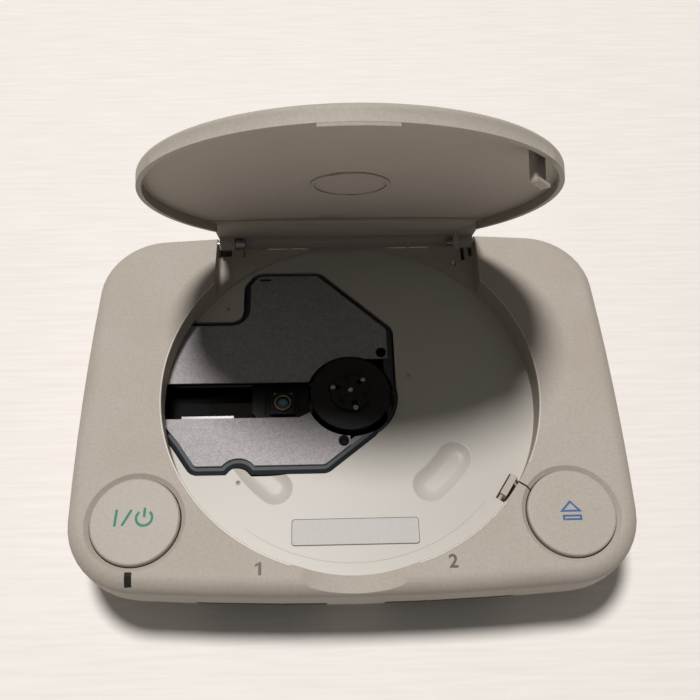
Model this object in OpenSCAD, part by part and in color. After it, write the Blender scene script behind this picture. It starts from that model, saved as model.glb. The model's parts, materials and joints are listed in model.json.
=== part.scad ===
// Small home disc console with a flip-up round lid, shown with the lid open.
// X runs to the right, Y to the rear and Z up. The origin is on the table under the middle of the body.

/* [Body] */
// Width of the body across its widest line
body_w = 193; // [189:0.5:199]
// Depth of the body from front to rear
body_d = 144; // [142:0.5:150]
// Height of the flat top above the table
top_z = 33.5; // [33:0.25:36]
// Radius of the body's corners in plan
corner_r = 25; // [22:0.5:28]
// Radius of the gentle bow of the four sides
bow_r = 1000; // [800:50:2000]
// Radius of the rounded top edge
edge_r = 5.5; // [4.5:0.25:6]
// Wall of the moulded shells
wall = 2.2; // [1.8:0.1:2.4]
// Height of the line where the two shells meet
seam_z = 19; // [18.5:0.25:19.25]
// Height of the lip under the card slots, where the sides start to draw in
lip_z = 11.6; // [11:0.1:11.8]
// How far the underside is set in from the widest line
belly_in = 11.5; // [9:0.5:13]
// Height of the rubber feet
foot_h = 1.5; // [1:0.1:1.8]
// Radius of the rubber feet
foot_r = 6; // [4:0.5:8]

/* [Disc well] */
// Width of the rim between the disc well and the front face
front_rim = 6.4; // [6:0.1:7]
// Distance of the disc's axis behind the middle of the body
well_y = 2; // [1:0.25:2.5]
// Depth of the disc well below the flat top
well_depth = 10; // [9.5:0.1:10.3]
// Thickness of the well's floor
floor_t = 2.3; // [2:0.1:2.6]
// Thickness of the well's round wall
tub_t = 1.8; // [1.4:0.1:2.2]
// Width of the notch behind the well that takes the lid's tongue
notch_w = 102.6; // [98:0.2:104]
// Rise of the shelf behind the well above the well's floor
shelf_h = 1.5; // [1:0.1:2]
// Rise of the low rear wall above the well's floor
rear_wall_h = 3.9; // [3:0.1:4]

/* [Lid] */
// Angle by which the lid stands open
lid_open = 65.5; // [60:0.5:70]
// Gap between the lid and the well's wall
lid_gap = 0.5; // [0.4:0.05:0.8]
// Thickness of the lid
lid_t = 2.2; // [1.8:0.1:2.6]
// Rise of the closed lid's rim above the flat top
lid_rise = 3.1; // [2.5:0.1:3.5]
// Further rise of the lid's crown above its rim
lid_crown = 1.4; // [1:0.1:2.5]
// Height of the lid's skirt
skirt_h = 5.4; // [4.5:0.1:6]
// Distance of the hinge line in front of the rear face
hinge_in = 4.8; // [4.5:0.1:5.2]
// Depth of the hinge line below the flat top
hinge_drop = 2.7; // [2.5:0.1:3]
// Radius of the hinge pins
pin_r = 1.2; // [1:0.05:1.3]

/* [Buttons] */
// Distance of the buttons' axes in from the sides
button_side = 24.3; // [23.5:0.1:25.5]
// Distance of the buttons' axes behind the front face
button_front = 25; // [24.5:0.1:27]
// Radius of the button caps
button_r = 14.8; // [13:0.1:15.2]
// Gap round a button cap
button_gap = 0.35; // [0.3:0.05:0.5]
// Rise of a button cap above the flat top
button_rise = 0.5; // [0:0.1:1]

/* [Disc drive] */
// Height of the drive unit
drive_h = 10; // [9.6:0.1:10.4]
// Rise of the drive's metal cover above the well's floor
cover_rise = 1.7; // [1.5:0.1:2]
// Thickness of the drive's metal cover
cover_t = 0.8; // [0.5:0.1:1]
// Width of the sloped rim round the cover
rim_w = 2.4; // [2:0.1:2.8]
// Width of the slot that the pickup looks through
slot_w = 14.4; // [13:0.2:15]
// Radius of the hole round the turntable
spindle_hole_r = 16.2; // [15.6:0.1:16.6]
// Radius of the turntable
turntable_r = 14.6; // [13:0.1:15]
// Radius of the hub that centres a disc
hub_r = 7.4; // [7.3:0.05:7.45]
// Rise of the disc seat above the well's floor
seat_rise = 3.5; // [3.3:0.1:4]
// Distance of the lens from the disc's axis at rest
lens_reach = 25; // [24.5:0.1:25.5]
// Radius of the pickup's guide rails
rail_r = 1.5; // [1.2:0.1:1.6]

/* [Front ports] */
// Distance of each port's middle from the middle plane
port_x = 31.4; // [30.5:0.1:32]
// Width of a memory card slot
card_w = 43.5; // [42.5:0.1:44]
// Height of a memory card slot
card_h = 8.2; // [7.8:0.1:8.4]
// Width of a controller socket
socket_w = 40; // [38:0.2:42]
// Depth of the port blocks
port_depth = 25; // [23:0.5:25]

/* [Boards] */
// Distance of the main board's ends in from the sides
board_side = 30.5; // [29:0.5:34]
// Gap between the ports' board and the main board
board_gap = 4.2; // [3.5:0.1:6]
// Distance of the main board's rear edge in front of the rear face
board_rear_in = 12; // [11.5:0.1:14]
// Thickness of the main board
board_t = 1.6; // [1.2:0.1:1.8]
// Height of the bosses under the main board
boss_h = 4.3; // [4:0.1:4.5]
// Radius of the power jack's bore
jack_r = 2.45; // [2:0.05:2.75]

/* [Hidden] */
$fn = 72;

// Colours
case_colour = "#c9c2b8";
black_colour = "#1c1d1f";
dark_colour = "#3a3a3c";
steel_colour = "#b4b6b8";
cover_colour = "#77757a";
green_colour = "#2f6b3f";
gold_colour = "#c9a24a";
white_colour = "#d8d4c8";

// Play between pieces that only pass each other, running play on a shaft, how far cuts run past,
// and how deep posts reach into the wall that carries them
play = 0.3;
run = 0.05;
past = 1;
root = 0.5;

// Plan outline of the body: bowed sides that run into round corners
half_w = body_w / 2;
half_d = body_d / 2;
bow_c = bow_r - corner_r;
corner_y = half_d - corner_r - pow(half_w - corner_r, 2) / (2 * bow_c);
corner_x = half_w - corner_r - pow(corner_y, 2) / (2 * bow_c);
side_a = asin(corner_y / bow_c);
end_a = asin(corner_x / bow_c);
corner_steps = 10;
side_steps = 6;
function arc(c, r, a0, a1, n, skip = 0) =
    [for (i = [skip:n - skip]) let (a = a0 + (a1 - a0) * i / n) c + r * [cos(a), sin(a)]];
function outline(inset) = concat(
    arc([half_w - bow_r, 0], bow_r - inset, -side_a, side_a, side_steps, 1),
    arc([corner_x, corner_y], corner_r - inset, side_a, 90 - end_a, corner_steps),
    arc([0, half_d - bow_r], bow_r - inset, 90 - end_a, 90 + end_a, side_steps, 1),
    arc([-corner_x, corner_y], corner_r - inset, 90 + end_a, 180 - side_a, corner_steps),
    arc([bow_r - half_w, 0], bow_r - inset, 180 - side_a, 180 + side_a, side_steps, 1),
    arc([-corner_x, -corner_y], corner_r - inset, 180 + side_a, 270 - end_a, corner_steps),
    arc([0, bow_r - half_d], bow_r - inset, 270 - end_a, 270 + end_a, side_steps, 1),
    arc([corner_x, -corner_y], corner_r - inset, 270 + end_a, 360 - side_a, corner_steps));

// Side profiles of the shells as heights and insets; t is how far inside the skin they lie
seam_in = 0.25;
lip_in = 1.6;
widest_z = seam_z + 3;
fillet_steps = 7;
belly_steps = 6;
function upper_levels(t) = concat(
    [[seam_z - (t > 0 ? past : 0), seam_in + t], [widest_z, t], [top_z - edge_r, t]],
    [for (k = [1:fillet_steps]) let (a = 90 * k / fillet_steps)
        [top_z - edge_r + (edge_r - t) * sin(a), t + (edge_r - t) * (1 - cos(a))]]);
function lower_levels(t) = concat(
    [for (k = [belly_steps:-1:0]) let (s = k / belly_steps)
        [lip_z - (lip_z - foot_h - t) * s, t + lip_in + (belly_in - lip_in) * pow(s, 1.3)]],
    [[seam_z, seam_in + t]],
    t > 0 ? [[seam_z + 3 * past, seam_in + t]] : []);

// Heights, from the top down and from the table up
floor_z = top_z - well_depth;
under_z = floor_z - floor_t;
shelf_z = floor_z + shelf_h;
rear_wall_z = floor_z + rear_wall_h;
rear_wall_t = 2.6;
inner_z = foot_h + wall;
board_z = inner_z + boss_h;
board_top = board_z + board_t;
panel_w = 109;
panel_z = under_z - play;
chin_w = 36;
chin_drop = 2.9;
chin_r = (chin_w * chin_w / 4 + chin_drop * chin_drop) / (2 * chin_drop);

// Buttons and the disc well, which leaves a rim at the front and a land beside the buttons
button_x = half_w - button_side;
button_y = half_d - button_front;
button_reach = norm([button_x, button_y + well_y]);
button_land = 4.4;
bore_r = button_r + button_gap;
well_r = min(half_d - front_rim + well_y, button_reach - bore_r - button_land);
notch_half = notch_w / 2;
dimple_in = 23.6;
dimple_half = 6.4;

// Lid and hinge
lid_r = well_r - lid_gap;
lid_edge = 2;
rim_z = top_z + lid_rise;
apex_z = rim_z + lid_crown;
hinge_y = half_d - hinge_in;
hinge_z = top_z - hinge_drop;
knuckle_r = 2.4;
knuckle_l = 6;
tongue_half = notch_half - lid_gap;
pin_l = 15.5;
pin_seat = 4.5;
peg_x = 43;
peg_y = hinge_y - 6.5;
plunger_top = shelf_z + 1;

// Latch, on the line from the disc's axis to the open button
latch_a = atan2(-button_y - well_y, button_x);
hook_out = well_r - 1.2;
hook_t = 1.2;
hook_len = 1.3;
hook_w = 8.4;
hook_z = floor_z + 2.1;
hook_h = 1.4;
slider_t = 2;
slider_w = 10;
slider_top = under_z - play;
lug_in = 12;
spring_in = 3;
latch_spring_r = 0.9;
stem_back = 4;
stem_w = 5;
wedge_slope = 0.7;

// Buttons and what stands under them
button_top = top_z + button_rise;
sleeve_t = 1.4;
sleeve_z = top_z - 7.4;
flange_t = 1;
flange_top = sleeve_z - play;
spring_off = 9;
spring_post_z = seam_z - 1;
spring_r = 2.5;
spring_t = 0.9;
spring_post_r = 3;
power_in = 1.5;
tact_w = 6;
tact_h = 3.5;

// Lamp and its window in front of the power button
led_w = 2.2;
led_x = -button_x - 0.4;
led_back = button_y + bore_r + sleeve_t + 0.2;
led_deep = 7;
guide_t = 1.8;
lamp_w = 2;
lamp_t = 1.6;

// Drive unit
cover_top = floor_z + cover_rise;
chassis_top = cover_top - cover_t;
rim_h = 1.7;
deck_z = chassis_top - rim_h;
drive_z = cover_top - drive_h;
tray_z = drive_z + 1.2;
rim_gap = 0.4;
collar_r = spindle_hole_r + 1;
tray_wall = 1.6;
seat_z = floor_z + seat_rise;
hub_z = seat_z + 1.6;
ball_r = 1.25;
ball_reach = hub_r - 0.8;
ball_z = hub_z - 0.85;
motor_r = 10.5;
motor_top = tray_z + 5.4;
motor_base = 0.8;
shaft_r = 1;
shaft_in = 1.2;
cover_left = -74;
cover_right = 14.4;
cover_rear = 55.3;
cover_front = -25;
cover_step = -38;
cover_wing = 32.6;
cover_points = [[cover_left, -1], [-62, -15.5], [-55.5, cover_front], [-9.6, cover_front], [7.2, -11.5],
    [cover_right, 6], [cover_right, 30], [-12, cover_rear], [-35, cover_rear], [cover_step, 51],
    [cover_step, cover_wing], [cover_left, cover_wing]];
cover_round = 2;
step_round = 7;
bite_at = [-40.2, cover_front - 4.4];
bite_r = 7.2;
bite_a = asin((cover_front - bite_at[1]) / bite_r);
bite_after = 2;
cover_screw_at = [[-2.8, -16.2], [12, 19.6]];
cover_screw_r = 0.9;
slot_left = -70;
slot_right = -13;

// Pickup, rails and sled gears; the pickup runs a little in front of the disc's axis
pickup_y = well_y - 1.4;
rail_off = 9;
rail_z = tray_z + 3.1;
rail_left = cover_left + tray_wall;
rail_right = -10;
rail_block = 2.4;
sled_z = tray_z + 0.8;
sled_top = tray_z + 4.6;
sled_left = -lens_reach - 11.4;
sled_right = -lens_reach + 9.5;
sled_side = 12.5;
sled_dip = 0.6;
holder_gap = 0.75;
holder_h = 1.05;
holder_w = 9;
holder_low = sled_top - sled_dip + holder_gap;
lens_r = 2.4;
lens_low = holder_low + 0.3;
rack_module = 0.5;
rack_teeth = 16;
rack_line = pickup_y + sled_side + 2.2;
wheel_module = 0.4;
wheel_teeth = 40;
pinion_teeth = 10;
gear_x = -28;
gear_y = rack_line + rack_module * rack_teeth / 2;
pinion_a = 36;
pinion_d = wheel_module * (wheel_teeth + pinion_teeth) / 2;
pinion_x = gear_x + pinion_d * cos(pinion_a);
pinion_y = gear_y + pinion_d * sin(pinion_a);
rack_z = tray_z + 1.6;
rack_h = 2;
wheel_z = sled_top + play;
wheel_h = 1.2;
post_r = 1;
motor_shaft_r = 0.75;

// Drive mounting: ears, rubber grommets and shoulder screws
ear_at = [[24, 30], [-50, 44], bite_at - [0, 0.4]];
ear_root = [[10, 24], [-50, 30], bite_at + [0, bite_r]];
ear_r = 5.5;
ear_t = 2;
grommet_r = 4.6;
grommet_flange = 1.2;
neck_r = 3;
bush_r = 1.5;
damper_post = 1.8;
grommet_top = under_z - damper_post;
ear_top = grommet_top - grommet_flange;
grommet_low = ear_top - ear_t - grommet_flange;
screw_head = 1.2;

// Case screws: the rear pair stands behind the drive
case_rear_x = half_w - 18.5;
case_rear_y = cover_wing + rim_w + 6;
case_front_x = half_w - 16.5;
case_front_y = 52 - half_d;
case_screw_at = [[-case_rear_x, case_rear_y], [case_rear_x, case_rear_y],
    [-case_front_x, case_front_y], [case_front_x, case_front_y]];
case_screw_r = 1.5;
case_post_r = 4.2;
case_cap_r = 3.6;
case_head_r = 3;
case_head_z = foot_h + 1.4;
case_screw_top = seam_z + 6;

// Front ports
port_top = under_z - play;
card_top = port_top - 0.8;
card_z = card_top - card_h;
socket_z = inner_z + 0.8;
socket_h = card_z - 0.8 - socket_z;
port_front = -half_d + wall;
port_back = port_front + port_depth;
port_w = card_w + 3;
port_half = port_x + port_w / 2 + 1.35;
port_board_t = 1.6;
port_board_top = card_z + card_h / 2;
port_floor_back = port_back - 2;
door_y = port_front + 4.3;
door_t = 1.2;
door_axis_z = card_top - 1;
door_pin_r = 0.8;

// Boards and shields
board_half = half_w - board_side;
board_front = port_back + port_board_t + board_gap;
board_rear = half_d - board_rear_in;
board_screw_x = board_half - 6;
board_screw_front = board_front + 6;
board_screw_rear = board_rear - 14;
board_screw_at = [[-board_screw_x, board_screw_front], [board_screw_x, board_screw_front],
    [-board_screw_x, board_screw_rear], [board_screw_x, board_screw_rear]];
board_screw_r = 1.2;
board_post_r = 3.5;
shield_t = 0.4;
shield_half = board_half - 10;
shield_front = board_front + 8;
shield_rear = board_rear - 21;
shield_h = 2.8;
chip_h = 1.8;
flex_x = -19;
flex_y = board_rear - 15;
flex_w = 14;
flex_t = 0.3;
flex_up = 1;

// Power switch board, between the power button and the left port
switch_z = seam_z - 4;
switch_board_t = 1.2;
switch_left = -button_x - 3.8;
switch_right = -port_half - 2;
switch_front = -button_y - 17.6;
switch_rear = -button_y + 9;
switch_post_at = [[switch_right - 3.5, switch_rear - 4], [switch_right - 3.5, switch_rear - 15]];
switch_post_r = 2.2;

// Lid switch
lid_switch_w = 5;
lid_switch_h = 2.6;
plunger_r = 0.9;

// Rear sockets
av_x = 21;
av_w = 26;
av_h = 7.5;
av_mouth = 1.4;
av_mouth_d = 9;
av_blade_in = 4;
av_blade_t = 1.6;
dc_x = board_half - 12;
dc_z = board_top + 4.6;
dc_body = 9;
dc_shoulder = half_d - 10;
dc_nose = half_d - 4.4;
dc_nose_r = dc_body / 2 - 0.6;
dc_bore_d = 9;
dc_pin_r = 0.8;
socket_cut = 12;
socket_gap = 0.2;

// One corner of a closed outline, rounded by one radius where it points out and another where it points in
function unit(v) = v / norm(v);
function corner(pts, i, out_r, in_r, n = 4) = let (
    p = pts[i],
    u = unit(pts[(i + len(pts) - 1) % len(pts)] - p),
    v = unit(pts[(i + 1) % len(pts)] - p),
    side = cross(-u, v) > 0 ? 1 : -1,
    r = side > 0 ? out_r : in_r,
    half = acos(u * v) / 2,
    c = p + unit(u + v) * r / sin(half),
    from = p + u * r / tan(half) - c,
    turn = side * (180 - 2 * half))
    [for (k = [0:n]) let (a = atan2(from[1], from[0]) + turn * k / n) c + r * [cos(a), sin(a)]];

// A closed outline moved outwards by d
function outward(a, b) = let (e = unit(b - a)) [e[1], -e[0]];
function grown(pts, d) = let (n = len(pts)) [for (i = [0:n - 1]) let (
    a = outward(pts[(i + n - 1) % n], pts[i]),
    b = outward(pts[i], pts[(i + 1) % n])) pts[i] + (a + b) * d / (1 + a * b)];

// The drive cover's outline, with a round bite in its front edge
cover_outline = [for (i = [0:len(cover_points) - 1])
    each concat(corner(cover_points, i, cover_round, step_round),
        i == bite_after ? arc(bite_at, bite_r, 180 - bite_a, bite_a, 14) : [])];

// A closed skin through the outline at each level
module loft(levels) {
    rings([for (s = levels) [for (p = outline(s[1])) [p[0], p[1], s[0]]]]);
}

// A closed skin through rings of as many points each
module rings(list) {
    n = len(list[0]);
    m = len(list);
    points = [for (ring = list) each ring];
    sides = [for (k = [0:m - 2]) for (i = [0:n - 1]) let (j = (i + 1) % n)
        [k * n + i, (k + 1) * n + i, (k + 1) * n + j, k * n + j]];
    floor_face = [for (i = [0:n - 1]) i];
    roof_face = [for (i = [n - 1:-1:0]) (m - 1) * n + i];
    polyhedron(points, concat([floor_face], sides, [roof_face]), convexity = 6);
}

module at_well() {
    translate([0, well_y, 0]) children();
}

module at_button(side) {
    translate([side * button_x, -button_y, 0]) children();
}

// Local X runs outwards from the disc's axis towards the open button
module on_latch_line() {
    at_well() rotate([0, 0, latch_a]) children();
}

// A box given by its lowest and highest corners
module span(low, high) {
    translate(low) cube(high - low);
}

// A cylinder between two heights
module rod(r, z0, z1) {
    translate([0, 0, z0]) cylinder(r = r, h = z1 - z0);
}

module tube(r, bore, z0, z1) {
    difference() {
        rod(r, z0, z1);
        rod(bore, z0 - past, z1 + past);
    }
}

// A round bar along X from x0 to x1
module bar_x(r, x0, x1) {
    translate([x0, 0, 0]) rotate([0, 90, 0]) cylinder(r = r, h = x1 - x0);
}

// A round bar along Y from y0 to y1
module bar_y(r, y0, y1) {
    translate([0, y0, 0]) rotate([-90, 0, 0]) cylinder(r = r, h = y1 - y0);
}

// Turns the closed lid to the open position
module opened() {
    translate([0, hinge_y, hinge_z]) rotate([-lid_open, 0, 0])
        translate([0, -hinge_y, -hinge_z]) children();
}

module mirror_pair() {
    children();
    mirror([1, 0, 0]) children();
}

// The drive's outline a given width outside its cover, with the round collar of the spindle
module drive_shape(out) {
    polygon(grown(cover_outline, out));
    translate([0, well_y]) circle(r = collar_r + out - rim_w);
}

// Upper shell

module well_inside() {
    at_well() rod(well_r, floor_z, top_z + 2 * edge_r);
    span([-notch_half, well_y, shelf_z], [notch_half, half_d - rear_wall_t, top_z + past]);
    span([-notch_half, well_y, rear_wall_z], [notch_half, half_d + past, top_z + past]);
}

module well_outside() {
    at_well() rod(well_r + tub_t, under_z, top_z);
    span([-notch_half - tub_t, well_y, under_z], [notch_half + tub_t, half_d, top_z]);
}

// A shallow bean-shaped finger dimple in the well's floor, lying along a circle round the disc's axis
function bean(inset) = let (
    reach = well_r - dimple_in,
    half = dimple_half - inset,
    a0 = -52,
    a1 = -34) concat(
    arc([0, well_y], reach + half, a0, a1, 4, 1),
    arc([0, well_y] + reach * [cos(a1), sin(a1)], half, a1, a1 + 180, 10),
    arc([0, well_y], reach - half, a1, a0, 4, 1),
    arc([0, well_y] + reach * [cos(a0), sin(a0)], half, a0 + 180, a0 + 360, 10));

module finger_dimple() {
    // Height and inset of each ring, from the bottom up
    steps = [[-1.6, 5], [-1.55, 4.2], [-1.4, 3.3], [-1.15, 2.4], [-0.8, 1.5], [-0.4, 0.7],
        [0, 0], [0.5, -0.8]];
    rings([for (q = steps) [for (p = bean(q[1])) [p[0], p[1], floor_z + q[0]]]]);
}

module hinge_slots() {
    slot_y = half_d - rear_wall_t - 7;
    slot_end = half_d - rear_wall_t;
    low = under_z - past;
    high = shelf_z + past;
    span([notch_half - 4.7, slot_y, low], [notch_half - 3.1, slot_end, high]);
    span([notch_half - 1.5, slot_y + 2, low], [notch_half, slot_end, high]);
    span([-notch_half, slot_y + 3, low], [4.9 - notch_half, slot_end, high]);
}

// Five notches in the inner edge of the low rear wall
module rear_notches() {
    pitch = 9.3;
    width = 8;
    depth = 1.3;
    left = -28;
    right = 11;
    for (x = [left, left + pitch, right, right + pitch, right + 2 * pitch])
        span([x - width / 2, half_d - 2 * rear_wall_t, rear_wall_z - depth],
            [x + width / 2, half_d - rear_wall_t / 2, rear_wall_z + past]);
}

module latch_window() {
    window_w = hook_w + 2;
    on_latch_line() {
        span([hook_out - hook_t - hook_len - 0.5, -window_w / 2, under_z - past],
            [hook_out + 0.2, window_w / 2, floor_z + past]);
        span([hook_out - 1, -hook_w / 2 - play, under_z - past],
            [well_r + tub_t + past, hook_w / 2 + play, hook_z + hook_h + 0.6]);
        // Narrow slit from the well's rim to the button's recess
        span([well_r - past, -play, top_z - 3], [button_reach - bore_r, play, top_z + past]);
    }
}

module recess_cone() {
    recess_w = 1.5;
    recess_d = 1.2;
    translate([0, 0, top_z - recess_d])
        cylinder(r1 = bore_r, r2 = bore_r + recess_w * 2, h = recess_d * 2);
}

module led_space(gap) {
    led_front = half_d - 4;
    span([led_x - led_w / 2 - gap, -led_front - gap, top_z - led_deep],
        [led_x + led_w / 2 + gap, -led_back + gap, top_z]);
}

module front_panel_space(gap) {
    span([-panel_w / 2 - gap, -half_d - past, seam_z - past],
        [panel_w / 2 + gap, port_front + 0.4, panel_z + gap]);
}

module upper_details() {
    rib_t = 1.6;
    rib_in = slider_w / 2 + play;
    lug_t = 1.8;
    lug_half = 3;
    boss_t = 2;
    well_outside();
    mirror_pair() at_button(1) tube(bore_r + sleeve_t, bore_r, sleeve_z, top_z - root);
    for (p = case_screw_at) translate(p) rod(case_cap_r, seam_z, top_z - root);
    mirror_pair() translate([0, hinge_y, hinge_z]) bar_x(pin_r + boss_t, notch_half, notch_half + pin_seat);
    for (p = ear_at) translate(p) rod(neck_r, grommet_top, floor_z - root);
    // Solid rim under the scoop, between the well's wall and the front
    span([-chin_w / 2, port_front - root, top_z - chin_drop - wall],
        [chin_w / 2, well_y - well_r, top_z - wall + root]);
    on_latch_line() {
        // Guides on both sides of the latch slider, and the lug that its spring pushes on
        for (s = [0, 1]) mirror([0, s, 0])
            span([hook_out - spring_in, rib_in, seam_z], [well_r + tub_t, rib_in + rib_t, floor_z - root]);
        span([hook_out - lug_in - lug_t / 2, -lug_half, slider_top - slider_t],
            [hook_out - lug_in + lug_t / 2, lug_half, floor_z - root]);
    }
}

module upper_cuts() {
    well_inside();
    translate([0, 0, under_z - past]) linear_extrude(cover_top + root - under_z + past)
        drive_shape(rim_w + rim_gap);
    mirror_pair() finger_dimple();
    mirror_pair() at_button(1) {
        rod(bore_r, sleeve_z, top_z + past);
        recess_cone();
    }
    led_space(0.05);
    // Round scoop across the front rim, where a finger lifts the lid
    translate([0, 0, top_z - chin_drop + chin_r]) bar_y(chin_r, -half_d - past, well_y - well_r / 2);
    rear_notches();
    hinge_slots();
    latch_window();
    mirror_pair() translate([0, hinge_y, hinge_z])
        bar_x(pin_r, notch_half - past, notch_half + pin_seat + past);
    for (p = case_screw_at) translate(p) rod(case_screw_r, seam_z - past, case_screw_top);
    for (p = ear_at) translate(p) rod(bush_r - 0.1, grommet_top - past, floor_z - 1);
    translate([peg_x, peg_y, 0]) rod(plunger_r + 0.4, under_z - past, shelf_z + past);
    front_panel_space(0.1);
}

module upper_case() {
    color(case_colour) difference() {
        union() {
            difference() {
                loft(upper_levels(0));
                loft(upper_levels(wall));
            }
            intersection() {
                loft(upper_levels(0));
                upper_details();
            }
        }
        upper_cuts();
    }
}

// Lower shell

module spring_post_place(side) {
    at_button(side) rotate([0, 0, side > 0 ? latch_a : 180 - latch_a])
        translate([spring_off, 0, 0]) children();
}

module lower_details() {
    for (p = case_screw_at) translate(p) rod(case_post_r, foot_h, seam_z);
    for (p = board_screw_at) translate(p) rod(board_post_r, foot_h, board_z);
    for (s = [-1, 1]) spring_post_place(s) rod(spring_post_r, foot_h, spring_post_z);
    for (p = switch_post_at) translate(p) rod(switch_post_r, foot_h, switch_z);
}

module front_openings() {
    mirror_pair() translate([port_x, 0, 0]) {
        span([-card_w / 2, -half_d - past, card_z], [card_w / 2, port_front + 5, card_top]);
        span([-socket_w / 2, -half_d - past, socket_z],
            [socket_w / 2, port_front + belly_in, socket_z + socket_h]);
    }
}

module rear_openings() {
    av_out = av_w / 2 + socket_gap;
    span([av_x - av_out, half_d - socket_cut, board_top - socket_gap],
        [av_x + av_out, half_d + past, board_top + av_h + socket_gap]);
    translate([dc_x, half_d - socket_cut, dc_z]) bar_y(dc_nose_r + socket_gap, 0, socket_cut + past);
}

module lower_case() {
    color(case_colour) difference() {
        union() {
            difference() {
                loft(lower_levels(0));
                loft(lower_levels(wall));
            }
            intersection() {
                loft(lower_levels(0));
                lower_details();
            }
            intersection() {
                difference() {
                    loft(upper_levels(0));
                    loft(upper_levels(wall));
                }
                front_panel_space(0);
            }
        }
        for (p = case_screw_at) translate(p) {
            rod(case_screw_r + 0.1, case_head_z - past, seam_z + past);
            rod(case_head_r + 0.2, foot_h - past, case_head_z);
        }
        for (p = board_screw_at) translate(p) rod(board_screw_r, foot_h + 1.2, board_z + past);
        front_openings();
        rear_openings();
    }
}

module case_screws() {
    color(steel_colour) for (p = case_screw_at) translate(p) {
        rod(case_head_r, foot_h + 0.2, case_head_z);
        rod(case_screw_r, case_head_z, case_screw_top);
    }
}

module rubber_feet() {
    foot_x = half_w - 30.5;
    foot_y = half_d - 28;
    color(dark_colour) for (x = [-foot_x, foot_x], y = [-foot_y, foot_y])
        translate([x, y, 0]) rod(foot_r, 0, foot_h);
}

module led_window() {
    guide_y = -led_back - 0.2;
    color(dark_colour) {
        intersection() {
            loft(upper_levels(0));
            union() {
                led_space(0);
                span([led_x - led_w / 2, guide_y - guide_t, seam_z],
                    [led_x + led_w / 2, guide_y, top_z - led_deep + 2]);
            }
        }
    }
}

module label_plate() {
    label_w = 43.4;
    label_d = 9.2;
    label_t = 0.3;
    label_x = 0.4;
    label_in = 12.1;
    color(steel_colour) translate([label_x - label_w / 2, well_y - well_r + label_in, floor_z])
        cube([label_w, label_d, label_t]);
}

// Lid

// Height of the lid's outer skin at a distance from its middle
function dome(r) = apex_z - lid_crown * pow(r / (lid_r - lid_edge), 2);

module lid_shell() {
    skin_steps = 12;
    rim_t = 1.6;
    ledge = 1.9;
    top_r = lid_r - lid_edge;
    skin = [for (i = [0:skin_steps]) let (r = top_r * i / skin_steps) [r, dome(r)]];
    rounding = [for (a = [75:-15:0]) [top_r, rim_z - lid_edge] + lid_edge * [cos(a), sin(a)]];
    skirt = [[lid_r, rim_z - skirt_h], [lid_r - rim_t, rim_z - skirt_h], [lid_r - rim_t, rim_z - lid_t],
        [lid_r - rim_t - ledge, rim_z - lid_t]];
    inner_r = lid_r - rim_t - ledge - 0.6;
    inside = [for (i = [skin_steps:-1:0]) let (r = inner_r * i / skin_steps) [r, dome(r) - lid_t]];
    at_well() rotate_extrude($fn = 120) polygon(concat(skin, rounding, skirt, inside));
}

// The plate behind the round lid that reaches the hinge line
module lid_tongue() {
    root_y = well_y + lid_r - 26.1;
    end_in = 1.2;
    end_y = half_d - end_in;
    mid_y = hinge_y - 6;
    sink = 0.4;
    top_side = [[root_y, rim_z - sink], [mid_y, rim_z - 1.2], [hinge_y, rim_z - 2.2],
        [hinge_y + knuckle_r, hinge_z + 2.2], [end_y, hinge_z]];
    under_side = [[end_y, hinge_z - end_in], [hinge_y + 1, hinge_z - end_in], [hinge_y + 1, hinge_z],
        [hinge_y - 1, hinge_z + knuckle_r], [mid_y, hinge_z + knuckle_r + 0.2],
        [root_y, rim_z - lid_t - sink]];
    intersection() {
        rotate([90, 0, 90]) translate([0, 0, -tongue_half]) linear_extrude(2 * tongue_half) difference() {
            polygon(concat(top_side, under_side));
            translate([hinge_y, hinge_z]) circle(r = knuckle_r + 0.1);
        }
        linear_extrude(apex_z) polygon(outline(end_in));
    }
}

module lid_knuckle() {
    knuckle_x = tongue_half - 0.4;
    arm = 2.2;
    difference() {
        translate([0, hinge_y, hinge_z]) union() {
            bar_x(knuckle_r, knuckle_x - knuckle_l, knuckle_x);
            span([knuckle_x - knuckle_l, -arm, 0], [knuckle_x, arm, knuckle_r + 0.8]);
        }
        translate([0, hinge_y, hinge_z])
            bar_x(pin_r + run, knuckle_x - knuckle_l - past, knuckle_x + past);
    }
}

// The hooked tab that the latch holds
module lid_catch() {
    tab_t = 1.8;
    tab_out = hook_out - hook_t - hook_len - play;
    tab_low = floor_z + 0.7;
    lip_top = hook_z - play;
    on_latch_line() {
        span([tab_out - tab_t, -hook_w / 2, tab_low], [tab_out, hook_w / 2, rim_z - lid_t + 0.8]);
        span([tab_out - past, -hook_w / 2, tab_low], [tab_out + hook_len - 0.1, hook_w / 2, lip_top]);
    }
}

module lid() {
    ring_r = 12.8;
    gap_half = tongue_half - 1.8;
    color(case_colour) opened() {
        difference() {
            lid_shell();
            span([-gap_half, well_y + lid_r / 3, rim_z - skirt_h - past],
                [gap_half, half_d, rim_z - lid_t - 0.4]);
        }
        lid_tongue();
        mirror_pair() lid_knuckle();
        lid_catch();
        translate([peg_x, peg_y, 0]) rod(1, plunger_top + play, hinge_z + knuckle_r + 1);
        at_well() tube(ring_r, ring_r - 1, dome(0) - lid_t - 0.5, dome(0) - lid_t + 0.3);
    }
}

module hinge_pins() {
    color(steel_colour) mirror_pair() translate([0, hinge_y, hinge_z])
        bar_x(pin_r, notch_half + pin_seat - pin_l, notch_half + pin_seat);
}

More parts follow.
